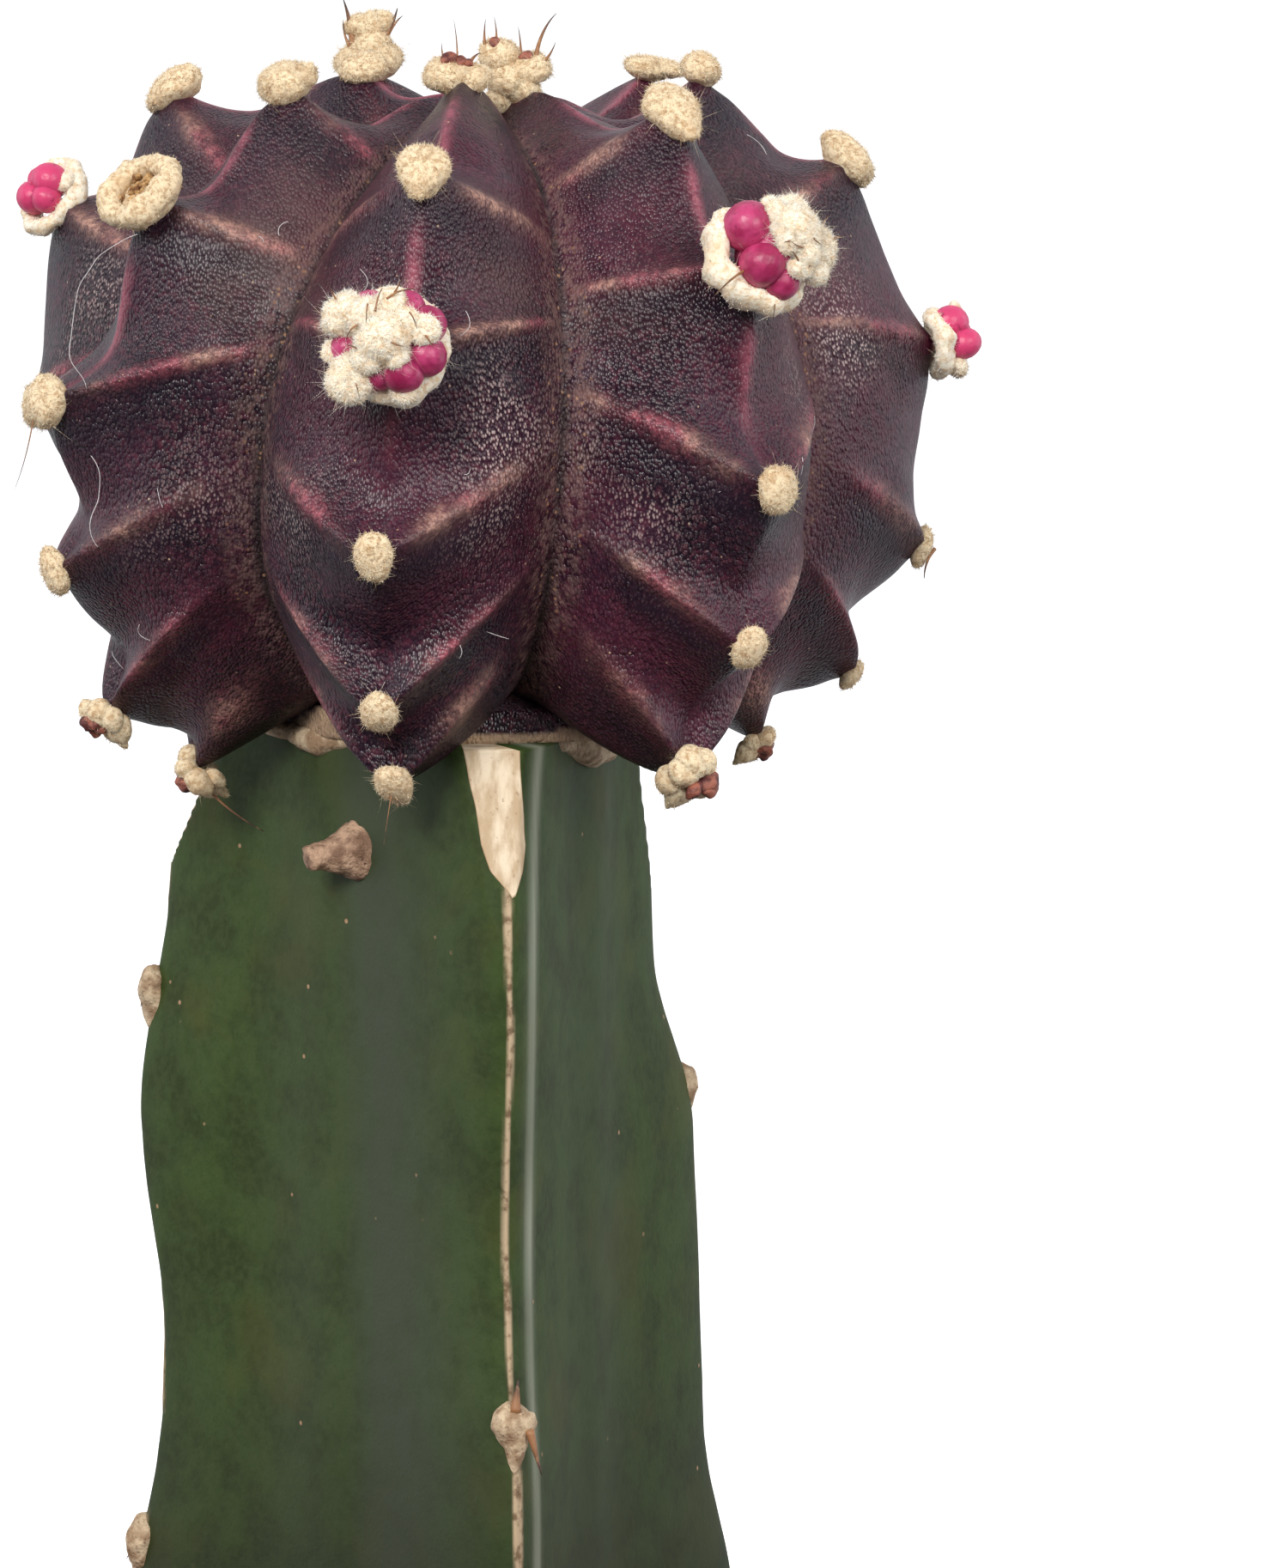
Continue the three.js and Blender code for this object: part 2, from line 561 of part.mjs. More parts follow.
const head = new THREE.Group();
head.position.set(HEAD_OFFSET_X, 0, GRAFT_Z);
head.add(node('scion', geometryOf(headSolid()), finishes.purple));
for (const offset of OFFSETS) {
  const { tip, outward } = areolePlace(offset.rib, offset.areole);
  const rosette = node(offset.name, geometryOf(offsetSolid(offset)), finishes.pink);
  rosette.position.copy(tip).addScaledVector(outward, OFFSET_SEAT_DEPTH + OFFSET_GAP);
  rosette.quaternion.setFromUnitVectors(new THREE.Vector3(0, 0, 1), outward);
  head.add(rosette);
}
plant.add(head);

export default plant;
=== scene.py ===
"""The finished look of a potted moon cactus: a dark purple head grafted on a green rootstock."""

import math

import bmesh
import bpy
import numpy as np
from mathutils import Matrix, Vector


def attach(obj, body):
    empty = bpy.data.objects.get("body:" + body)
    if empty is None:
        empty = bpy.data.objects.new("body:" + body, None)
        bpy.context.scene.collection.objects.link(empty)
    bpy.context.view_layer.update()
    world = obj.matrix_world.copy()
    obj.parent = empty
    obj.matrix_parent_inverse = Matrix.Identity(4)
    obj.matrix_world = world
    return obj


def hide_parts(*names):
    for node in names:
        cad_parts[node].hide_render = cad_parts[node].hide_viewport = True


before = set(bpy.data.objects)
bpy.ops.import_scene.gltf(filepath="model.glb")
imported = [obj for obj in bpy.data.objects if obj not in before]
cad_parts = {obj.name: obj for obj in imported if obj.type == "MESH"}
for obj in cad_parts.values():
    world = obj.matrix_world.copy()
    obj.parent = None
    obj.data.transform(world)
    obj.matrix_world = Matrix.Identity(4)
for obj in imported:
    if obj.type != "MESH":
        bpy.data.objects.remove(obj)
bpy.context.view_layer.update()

MM = 0.001

# Driving dimensions in millimetres, the same as the solids' except for the ribs' fullness and flank dip
POT_HEIGHT = 62.0
RIM_RADIUS = 36.0
RIM_HEIGHT = 15.0
RIM_OVERHANG = 3.2
FOOT_RADIUS = 24.0
WALL = 4.0
FLOOR = 4.5
FOOT_RECESS = 1.5
DRAIN_RADIUS = 5.0
SOIL_TOP = 54.0
SOIL_GRAINS = 520
GRAFT_Z = 116.0
STEM_FOOT_Z = 26.0

STEM_VALLEY_RADIUS = 8.6
STEM_BURIED_SCALE = 0.9
STEM_EDGE_BLUNT = 3.0
STEM_FLANK_POWER = 3.0
STEM_HALF_SECTOR = 60.0
STEM_AREOLE_PITCH = 29.0
STEM_WAVE_PHASE = 0.2
STEM_SHOULDER_Z = -18.0
STEM_SHOULDER_REACH = 4.7
STEM_LOW_SHOULDER_Z = -44.0
STEM_LOW_SHOULDER_SHARE = 0.7
# The painted grey sheen band on the stem: its azimuth at the graft, and the degrees that it drifts with each
# millimetre down
STEM_SHEEN_AZIMUTH = -24.0
STEM_SHEEN_DRIFT = 0.27
# The stem's ribs. Areoles are heights from the graft, negative below it. Each bevel is the slanting cut at a
# rib's top: its distance from the axis at the graft, its gain with each millimetre down, and its turn.
STEM_RIBS = [
    dict(azimuth=-109, radius=16.45, wave=0.8, flare=0.01, shoulder=0.3, areoles=(-14.5, -44.5),
         bevel_top=10.9, bevel_slope=0.6, bevel_turn=0),
    dict(azimuth=12.5, radius=16.6, wave=0.5, flare=0, shoulder=0, areoles=(-34.8,),
         bevel_top=15, bevel_slope=0.225, bevel_turn=-30),
    dict(azimuth=131, radius=16.15, wave=0, flare=0.05, shoulder=2.3, areoles=(-20.5, -49.5),
         bevel_top=11.15, bevel_slope=0.31, bevel_turn=-8),
]

STEM_FRONT = 1
# The front rib's scar: depths below the graft, and its edges there in millimetres round from the rib's edge.
SCAR_LEFT = ((0, 0.9, 3.0, 4.8, 6.1, 7.1, 7.9, 60), (-2.05, -1.85, -1.5, -1.27, -0.85, -0.05, 0.4, 0.8))
SCAR_RIGHT = ((0, 0.9, 3.0, 4.8, 6.1, 7.1, 7.9, 60), (0.98, 0.95, 1.0, 1.2, 0.93, 0.5, 0.1, -0.2))

HEAD_OFFSET_X = 2.0
HEAD_CENTRE = 16.5
HEAD_VALLEY_RADIUS = 18.2
HEAD_VALLEY_UP = 15.6
HEAD_VALLEY_DOWN = 15.2
HEAD_BOTTOM_POWER = 2.35
HEAD_NECK_RADIUS = 10.4
HEAD_END_ANGLE = -66.0
RIB_HEIGHT = 5.4
RIB_FULLNESS = 1.12
AREOLE_DIP = 1.5
SAG_SKEW = 2.4
FLANK_DIP = 0.55
TUBERCLE_HEIGHT = 0.6
TUBERCLE_WIDTH = 2.4
FOLD_HEIGHT = 0.22
GROOVE_DEPTH = 0.1
# Millimetres for each degree along a rib, and from a crest to its valley
MM_PER_DEGREE = 0.38
FLANK_WIDTH = 8.5
# Degrees between areoles where the crest dips fully, and from the first and last areoles to a rib's ends
FULL_SPAN = 26.0
END_SPANS = (28.0, 24.0)
PEBBLE = 0.16
PEBBLE_DEPTH = 0.095
SIDE_FOLD_RISE = 13.0
LOW_FOLD_RISE = 8.0

# The head's ribs. Areoles are angles above the equator in degrees, from the crown down. lifts are the
# millimetres that the rib stands out further at each of them, and sags the shares of the full dip in the
# stretches above, between and below them.
HEAD_RIBS = [
    dict(azimuth=-106, lean=3, reach=1.28, lower=0.8, areoles=(73, 47, 26.7, 0.5, -22, -43),
         lifts=(0, -0.2, 0.7, 0.1, 0, 0), sags=(1, 1, 1, 0.2, 1, 1, 1)),
    dict(azimuth=-63, lean=14, reach=0.98, lower=1.09, areoles=(56.3, 31.4, 2.9, -18.6, -41.9, -57.6),
         lifts=(0, 0, 0.6, 0.1, 1, 0.5)),
    dict(azimuth=-10.6, lean=5, reach=1.04, lower=1.14, areoles=(70, 36, 11.2, -14.2, -38.4, -54.2),
         lifts=(0, 0, 0, 0, 0.2, 0.6)),
    dict(azimuth=38.7, lean=0.7, reach=0.99, lower=1.13, areoles=(80.1, 48.1, 22.2, -6.2, -28.6, -51.4),
         lifts=(0, 0, 0, 0, 0, 0.6)),
    dict(azimuth=95.6, lean=-0.2, reach=1.04, lower=1, areoles=(59.6, 36.8, 9.5, -17.1, -39.2, -57.1),
         lifts=(0, 0, -0.2, 0, 0, -0.4), sags=(1, 1, 0.2, 0.4, 1, 1, 1)),
    dict(azimuth=143.8, lean=-16.4, reach=1.04, lower=1.05, areoles=(60.2, 40, 15, -11, -31, -50)),
    dict(azimuth=205, lean=13, reach=1.02, lower=1.05, areoles=(63, 33, 6, -17, -37, -53)),
]
RIB_LEFT, RIB_RING, RIB_FRONT, RIB_RIGHT, RIB_FAR_RIGHT, RIB_BACK_RIGHT, RIB_BACK = range(7)

# The camera stands where the photo was taken from.
CAMERA_DISTANCE = 450.0
CAMERA_ELEVATION = 5.0
CAMERA_AIM = (10.55, 0.0, 113.0)
FRAME_HEIGHT = 83.0
SENSOR = 36.0


def srgb(red, green, blue):
    """A colour given as 0 to 255 display values, as the linear one that shaders use."""
    def linear(value):
        share = value / 255
        return share / 12.92 if share <= 0.04045 else ((share + 0.055) / 1.055) ** 2.4
    return (linear(red), linear(green), linear(blue), 1.0)


# Numbers and noise

def smoothstep(value, low, high):
    share = np.clip((value - low) / (high - low), 0, 1)
    return share * share * (3 - 2 * share)


def lerp(low, high, share):
    return low + (high - low) * share


def bell(value, width):
    return np.exp(-(value / width) ** 2)


def lattice(cell, seed):
    """A fixed random value from -1 to 1 for each whole-numbered cell."""
    x, y, z = cell[..., 0], cell[..., 1], cell[..., 2]
    h = (x * 374761393 + y * 668265263 + z * 1103515245 + seed * 12345677) & 0xFFFFFFFF
    h = ((h ^ (h >> 13)) * 1274126177) & 0xFFFFFFFF
    return ((h ^ (h >> 16)) & 0xFFFF) / 32767.5 - 1.0


def noise(points, size, seed):
    """Smooth noise from -1 to 1 at points in millimetres, with features of that size."""
    p = np.asarray(points, float) / size
    cell = np.floor(p).astype(np.int64)
    f = p - cell
    f = f * f * (3 - 2 * f)
    total = np.zeros(p.shape[:-1])
    for corner in range(8):
        step = np.array([corner & 1, (corner >> 1) & 1, corner >> 2])
        weight = np.prod(np.where(step == 1, f, 1 - f), axis=-1)
        total += weight * lattice(cell + step, seed)
    return total


def wander(points, size, seeds):
    """Noise with a seed of its own for each axis, to move points by."""
    return np.stack([noise(points, size, s) for s in seeds], -1)


def polar(radius, azimuth, z):
    """Points at a radius and azimuth in degrees, which turns from the front (-Y) towards +X."""
    a = np.radians(azimuth)
    return np.stack(np.broadcast_arrays(radius * np.sin(a), -radius * np.cos(a), z), -1)


def turn_to(start, end):
    """The shorter turn from one azimuth to another, in degrees."""
    return (end - start + 540) % 360 - 180


def unit(vectors):
    vectors = np.asarray(vectors, float)
    return vectors / np.maximum(np.linalg.norm(vectors, axis=-1, keepdims=True), 1e-12)


def basis(outward):
    """Two directions square to outward: one to the right as seen from outside, one upwards."""
    outward = unit(outward)
    right = unit(np.cross([0.0, 0.0, 1.0], outward))
    return right, np.cross(outward, right)


# Meshes

class Pile:
    """Closed meshes in millimetres, gathered into one piece."""

    def __init__(self):
        self.points, self.faces, self.marks, self.count = [], [], [], 0

    def add(self, points, faces, marks=None):
        points = np.asarray(points, float).reshape(-1, 3)
        for kind in faces:
            self.faces.append(np.asarray(kind, np.int64) + self.count)
        self.points.append(points)
        self.marks.append(np.zeros(len(points)) if marks is None else np.broadcast_to(marks, len(points)))
        self.count += len(points)

    def piece(self, name, finish, slot=None, replaces=(), attributes=None):
        """Make the piece. Its vertices carry the mark and any other attributes for its finish."""
        points = np.concatenate(self.points) * MM
        sizes = np.concatenate([np.full(len(f), f.shape[1]) for f in self.faces])
        corners = np.concatenate([f.ravel() for f in self.faces])
        mesh = bpy.data.meshes.new(name)
        mesh.vertices.add(len(points))
        mesh.vertices.foreach_set("co", points.astype(np.float32).ravel())
        mesh.loops.add(len(corners))
        mesh.loops.foreach_set("vertex_index", corners.astype(np.int32))
        mesh.polygons.add(len(sizes))
        starts = np.concatenate([[0], np.cumsum(sizes)[:-1]])
        mesh.polygons.foreach_set("loop_start", starts.astype(np.int32))
        mesh.polygons.foreach_set("use_smooth", np.ones(len(sizes), bool))
        for key, values in {"mark": np.concatenate(self.marks), **(attributes or {})}.items():
            layer = mesh.attributes.new(key, "FLOAT", "POINT")
            layer.data.foreach_set("value", np.asarray(values, np.float32).ravel())
        mesh.update(calc_edges=True)
        mesh.validate()
        mesh.materials.append(FINISHES[finish])
        made = bpy.data.objects.new(name, mesh)
        bpy.context.scene.collection.objects.link(made)
        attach(made, "root")
        if replaces:
            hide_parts(*replaces)


def lone_piece(points, faces, name, finish, slot=None, replaces=(), attributes=None):
    """A piece of one closed mesh."""
    pile = Pile()
    pile.add(points, faces)
    pile.piece(name, finish, slot, replaces, attributes)


def skin_faces(rows, columns):
    """Faces of a closed surface of rings from the top down, with a pole at each end."""
    r, c = np.meshgrid(np.arange(rows - 1), np.arange(columns), indexing="ij")
    here, across = 1 + r * columns + c, 1 + r * columns + (c + 1) % columns
    sides = np.stack([here, here + columns, across + columns, across], -1).reshape(-1, 4)
    c = np.arange(columns)
    top = np.stack([np.zeros_like(c), 1 + c, 1 + (c + 1) % columns], -1)
    last = 1 + (rows - 1) * columns
    bottom = np.stack([np.full_like(c, 1 + rows * columns), last + (c + 1) % columns, last + c], -1)
    return [sides, top, bottom]


def skin_points(rings, top, bottom):
    return np.concatenate([[top], rings.reshape(-1, 3), [bottom]])


def loop_faces(rows, columns):
    """Faces of a closed surface of rings where the last ring joins the first, such as a torus."""
    r, c = np.meshgrid(np.arange(rows), np.arange(columns), indexing="ij")
    nr, nc = (r + 1) % rows, (c + 1) % columns
    corners = [r * columns + c, nr * columns + c, nr * columns + nc, r * columns + nc]
    return np.stack(corners, -1).reshape(-1, 4)


def ball(detail):
    """Vertices and triangles of a unit icosphere."""
    work = bmesh.new()
    bmesh.ops.create_icosphere(work, subdivisions=detail, radius=1)
    work.verts.ensure_lookup_table()
    points = np.array([v.co for v in work.verts])
    faces = np.array([[v.index for v in f.verts] for f in work.faces])
    work.free()
    return points, faces


BALL_FINE = ball(4)
BALL = ball(3)
BALL_COARSE = ball(2)


def oriented(shape, centre, outward):
    """A shape's own X, Y and Z turned to right, up and outward, and moved to its centre."""
    right, up = basis(outward)
    shape = np.asarray(shape, float)
    return centre + shape[:, :1] * right + shape[:, 1:2] * up + shape[:, 2:] * unit(outward)


def drawn_out(shape, narrower, longer):
    """A shape with its lower end drawn out to a point."""
    shape = shape.copy()
    lower = np.maximum(-shape[:, 1], 0)
    shape[:, 0] *= 1 - narrower * lower
    shape[:, 1] -= longer * lower ** 2
    return shape


def add_lump(pile, shape, faces, centre, outward, uneven, size, seed):
    """Turn and place a shape, roughened by noise of the given depth, size and seed."""
    points = oriented(shape, centre, outward)
    pile.add(points + uneven * noise(points, size, seed)[:, None], [faces])


def strands(roots, directions, lengths, widths, bend, steps, sides=3):
    """Tapered threads, one for each root: their points, and faces for one pile."""
    n = len(roots)
    directions = unit(directions)
    side = unit(np.cross(directions, [0.31, 0.52, 0.79]))
    across = np.cross(directions, side)
    t = np.linspace(0, 1, steps + 1)[:-1]
    middle = (roots[:, None] + directions[:, None] * (lengths[:, None] * t)[..., None]
              + bend[:, None] * (t ** 2)[None, :, None])
    angle = np.arange(sides) * 2 * math.pi / sides
    radius = (widths[:, None] * (1 - 0.7 * t))[..., None, None]
    ring = (side[:, None, None] * np.cos(angle)[None, None, :, None]
            + across[:, None, None] * np.sin(angle)[None, None, :, None])
    body = (middle[:, :, None] + radius * ring).reshape(n, -1, 3)
    tip = (roots + directions * lengths[:, None] + bend)[:, None]
    points = np.concatenate([body, tip], 1)
    per, last = steps * sides + 1, (steps - 1) * sides
    edges = [(k, (k + 1) % sides) for k in range(sides)]
    quads = [[s + a, s + b, s + b + sides, s + a + sides] for s in range(0, last, sides) for a, b in edges]
    tips = [[last + a, last + b, per - 1] for a, b in edges]
    root_face = [list(range(sides - 1, -1, -1))]
    shift = np.arange(n)[:, None, None] * per
    faces = [(np.array(f)[None] + shift).reshape(-1, len(f[0])) for f in (quads, tips, root_face) if f]
    return points.reshape(-1, 3), faces


def thread(path, width, sides, taper=0.0):
    """A closed round thread along a path of points, thinner towards its end."""
    path = np.asarray(path, float)
    tangent = unit(np.gradient(path, axis=0))
    side = unit(np.cross(tangent, [0.23, 0.61, 0.76]))
    across = np.cross(tangent, side)
    t = np.linspace(0, 1, len(path))
    angle = np.arange(sides) * 2 * math.pi / sides
    radius = (width * (1 - taper * t))[:, None, None]
    rings = path[:, None] + radius * (side[:, None] * np.cos(angle)[None, :, None]
                                      - across[:, None] * np.sin(angle)[None, :, None])
    return skin_points(rings, path[0], path[-1]), skin_faces(len(path), sides)


def add_spine(pile, path, width, sides, taper):
    """A thread whose mark runs from 0 at its root to 1 at its tip."""
    points, faces = thread(path, width, sides, taper)
    pile.add(points, faces, np.concatenate([[0], np.repeat(np.linspace(0, 1, len(path)), sides), [1]]))


def bezier(points, steps):
    """A smooth path through three or four control points."""
    p = [np.asarray(q, float) for q in points]
    t = np.linspace(0, 1, steps)[:, None]
    if len(p) == 3:
        return (1 - t) ** 2 * p[0] + 2 * t * (1 - t) * p[1] + t ** 2 * p[2]
    return (1 - t) ** 3 * p[0] + 3 * t * (1 - t) ** 2 * p[1] + 3 * t ** 2 * (1 - t) * p[2] + t ** 3 * p[3]


# Finishes

class Nodes:
    """A node tree, with a short call for each kind of node."""

    def __init__(self, tree):
        self.tree = tree

    def feed(self, socket, value):
        """Link or set a socket. A colour of three numbers is in display values, 0 to 255."""
        if isinstance(value, bpy.types.NodeSocket):
            self.tree.links.new(value, socket)
        elif socket.type == "RGBA" and len(value) == 3:
            socket.default_value = srgb(*value)
        else:
            socket.default_value = value

    def node(self, kind, inputs, **settings):
        made = self.tree.nodes.new(kind)
        for key, value in settings.items():
            setattr(made, key, value)
        for key, value in inputs.items():
            self.feed(made.inputs[key], value)
        return made

    def math(self, operation, a, b, clamp=False):
        return self.node("ShaderNodeMath", {0: a, 1: b}, operation=operation, use_clamp=clamp).outputs[0]

    def times(self, first, *others):
        for other in others:
            first = self.math("MULTIPLY", first, other)
        return first

    def span(self, value, low, high, start=0.0, end=1.0):
        """A value from low to high, eased to run from start to end."""
        return self.node("ShaderNodeMapRange", {
            "Value": value, "From Min": low, "From Max": high, "To Min": start, "To Max": end},
            interpolation_type="SMOOTHSTEP").outputs["Result"]

    def mix(self, share, a, b):
        return self.node("ShaderNodeMix", {"Factor": share, 6: a, 7: b}, data_type="RGBA").outputs[2]


class Finish(Nodes):
    """A material. Sizes and depths are in millimetres."""

    def __init__(self, name):
        self.material = bpy.data.materials.new(name)
        self.material.use_nodes = True
        super().__init__(self.material.node_tree)
        self.place = self.tree.nodes.new("ShaderNodeTexCoord").outputs["Object"]

    def marks(self, *names):
        return [self.node("ShaderNodeAttribute", {}, attribute_name=name).outputs["Fac"] for name in names]

    def stretched(self, factors):
        return self.node("ShaderNodeMapping", {"Vector": self.place, "Scale": factors}).outputs["Vector"]

    def noise(self, size, detail=3.0, rough=0.55, vector=None):
        return self.node("ShaderNodeTexNoise", {
            "Vector": vector or self.place, "Scale": 1 / (size * MM), "Detail": detail,
            "Roughness": rough}).outputs["Fac"]

    def cells(self, size, feature="F1", vector=None):
        return self.node("ShaderNodeTexVoronoi", {
            "Vector": vector or self.place, "Scale": 1 / (size * MM)}, feature=feature).outputs["Distance"]

    def patches(self, base, tint, size, low, high, share=1.0, detail=3.0, rough=0.55):
        """The base colour with patches of a tint where noise of that size is high."""
        return self.mix(self.span(self.noise(size, detail, rough), low, high, 0.0, share), base, tint)

    def bump(self, height, depth, normal=None):
        inputs = {"Height": height, "Distance": depth * MM, **({"Normal": normal} if normal else {})}
        return self.node("ShaderNodeBump", inputs).outputs["Normal"]

    def done(self, **inputs):
        shader = self.tree.nodes["Principled BSDF"]
        for key, value in inputs.items():
            self.feed(shader.inputs[key.replace("_", " ")], value)
        return self.material


def head_finish():
    """Satin purple pebbled skin with pink folds, near-black painted shade under them, painted glints and
    dusty seams.
    """
    f = Finish("head_skin")
    fold, hollow, crest, crease = f.marks("fold", "hollow", "crest", "crease")
    blush, cork, dusty, glint = f.marks("blush", "cork", "dusty", "glint")
    broad, fine, mid = f.noise(5.0), f.noise(0.9, 4.0), f.noise(2.2, 4.0)
    colour = f.mix(f.span(broad, 0.35, 0.68), (26, 12, 25), (50, 21, 39))
    colour = f.patches(colour, (100, 46, 62), 0.4, 0.46, 0.66, 0.45, 5.0, 0.65)
    film = f.times(dusty, f.span(mid, 0.25, 0.6, 0.4, 1.0))
    colour = f.mix(film, colour, (82, 60, 61))
    colour = f.mix(f.times(blush, f.span(fine, 0.3, 0.7, 0.35, 0.9)), colour, (84, 28, 48))
    # hollow: painted near-black shade below each fold
    colour = f.mix(f.times(hollow, f.span(mid, 0.3, 0.6, 0.45, 0.8)), colour, (22, 14, 27))
    flecks = f.span(f.noise(0.35, 6.0, 0.7), 0.42, 0.6, 0.35, 1.0)
    pinks = f.mix(f.span(broad, 0.42, 0.6), (160, 84, 96), (190, 146, 130))
    colour = f.mix(f.times(fold, flecks, f.span(mid, 0.38, 0.6, 0.3, 1.0)), colour, pinks)
    colour = f.mix(f.times(crest, f.span(fine, 0.3, 0.6, 0.4, 0.9)), colour, (158, 84, 100))
    dust = f.times(f.span(crease, 0.1, 0.9), f.span(f.noise(0.5, 6.0, 0.7), 0.4, 0.62))
    colour = f.mix(f.times(dust, 0.55), colour, (128, 98, 92))
    # A thin dark line painted along the valley crease: painted shade
    seam = f.times(f.span(crease, 0.9, 1.0), f.span(f.noise(6.0), 0.36, 0.6, 0.5, 0.95))
    colour = f.mix(seam, colour, (30, 18, 20))
    grit = f.times(f.span(f.cells(0.5), 0.24, 0.12), f.span(f.noise(1.5, 3.0), 0.42, 0.54))
    colour = f.mix(f.times(grit, f.span(crease, 0.2, 0.8), 0.7), colour, (166, 124, 92))
    specks = f.times(f.span(f.cells(1.0), 0.08, 0.04), f.span(f.noise(3.1), 0.46, 0.6))
    colour = f.mix(f.times(specks, 0.8), colour, (190, 160, 132))
    colour = f.mix(f.times(cork, f.span(fine, 0.3, 0.62, 0.55, 1.0)), colour, (176, 148, 120))
    pebbles = f.cells(PEBBLE, vector=f.stretched((1, 1, 0.62)))
    dome = f.times(pebbles, pebbles, f.span(f.noise(3.4, 3.0), 0.32, 0.6, -0.5, -1.15))
    # Painted highlights: pebble tops lightened where the glint mark is
    painted_glint = f.times(glint, f.span(mid, 0.3, 0.55, 0.4, 1.0), f.span(pebbles, 0.5, 0.15))
    colour = f.mix(painted_glint, colour, (196, 172, 168))
    # Painted highlights: every pebble's top a little lighter
    colour = f.mix(f.span(pebbles, 0.45, 0.1, 0.0, 0.16), colour, (140, 116, 120))
    grain = f.bump(dome, PEBBLE_DEPTH, f.bump(f.noise(1.5, 4.0), 0.035))
    rough = f.math("ADD", f.span(broad, 0.3, 0.7, 0.24, 0.36), f.times(film, 0.1))
    rough = f.math("ADD", rough, f.times(f.math("MAXIMUM", dust, cork), 0.4), clamp=True)
    return f.done(Base_Color=colour, Roughness=rough, Normal=grain, Specular_IOR_Level=0.36)


def wool_finish(name, shade, light, stain):
    """Matted felt that light soaks into."""
    f = Finish(name)
    colour = f.patches(shade, light, 0.28, 0.36, 0.56, 1.0, 5.0, 0.65)
    colour = f.patches(colour, stain, 1.6, 0.5, 0.7, 0.45)
    soft = f.bump(f.noise(0.1, 4.0, 0.7), 0.05, f.bump(f.noise(0.3, 3.0), 0.07))
    return f.done(Base_Color=colour, Roughness=0.95, Normal=soft, Subsurface_Weight=0.2,
                  Subsurface_Radius=(0.0005, 0.0004, 0.0003), Subsurface_Scale=1.0)


def fibre_finish(name, shade, light):
    """Single wool fibres, a little lighter than the felt."""
    f = Finish(name)
    return f.done(Base_Color=f.patches(shade, light, 0.5, 0.35, 0.6), Roughness=0.85)


def cobweb_finish():
    f = Finish("cobweb")
    return f.done(Base_Color=f.mix(f.noise(2.0), (176, 170, 172), (226, 222, 222)), Roughness=0.5)


def spine_finish():
    """Dry brown spines, darker towards the tip. The mark runs from root to tip."""
    f = Finish("spine")
    along, = f.marks("mark")
    colour = f.mix(f.span(along, 0.2, 0.95), (150, 104, 68), (56, 32, 26))
    colour = f.patches(colour, (180, 140, 100), 0.5, 0.5, 0.7, 0.4)
    return f.done(Base_Color=colour, Roughness=0.5, Normal=f.bump(f.noise(0.15), 0.02))


def offset_finish():
    """Smooth magenta skin with small deeper patches, and brighter where the mark says so."""
    f = Finish("offset_skin")
    pink, = f.marks("mark")
    colour = f.patches((146, 28, 76), (186, 62, 112), 1.1, 0.35, 0.65, 1.0, 2.0)
    colour = f.mix(pink, colour, (210, 66, 114))
    colour = f.patches(colour, (104, 18, 48), 0.3, 0.58, 0.72, 0.5)
    fine = f.bump(f.cells(0.22, "SMOOTH_F1"), 0.02, f.bump(f.noise(0.8), 0.06))
    return f.done(Base_Color=colour, Roughness=0.38, Normal=fine, Subsurface_Weight=0.2,
                  Subsurface_Radius=(0.0012, 0.0004, 0.0005), Subsurface_Scale=1.0)


def rough_finish(name, dark, light, size, low, high, detail, roughness, grain, depth, pit=None):
    """Dry matter in two tones, with pits where they are given: colour, size, low, high and share."""
    f = Finish(name)
    colour = f.patches(dark, light, size, low, high, 1.0, detail)
    if pit:
        tint, pit_size, pit_low, pit_high, share = pit
        colour = f.patches(colour, tint, pit_size, pit_low, pit_high, share)
    return f.done(Base_Color=colour, Roughness=roughness, Normal=f.bump(f.noise(*grain), depth))


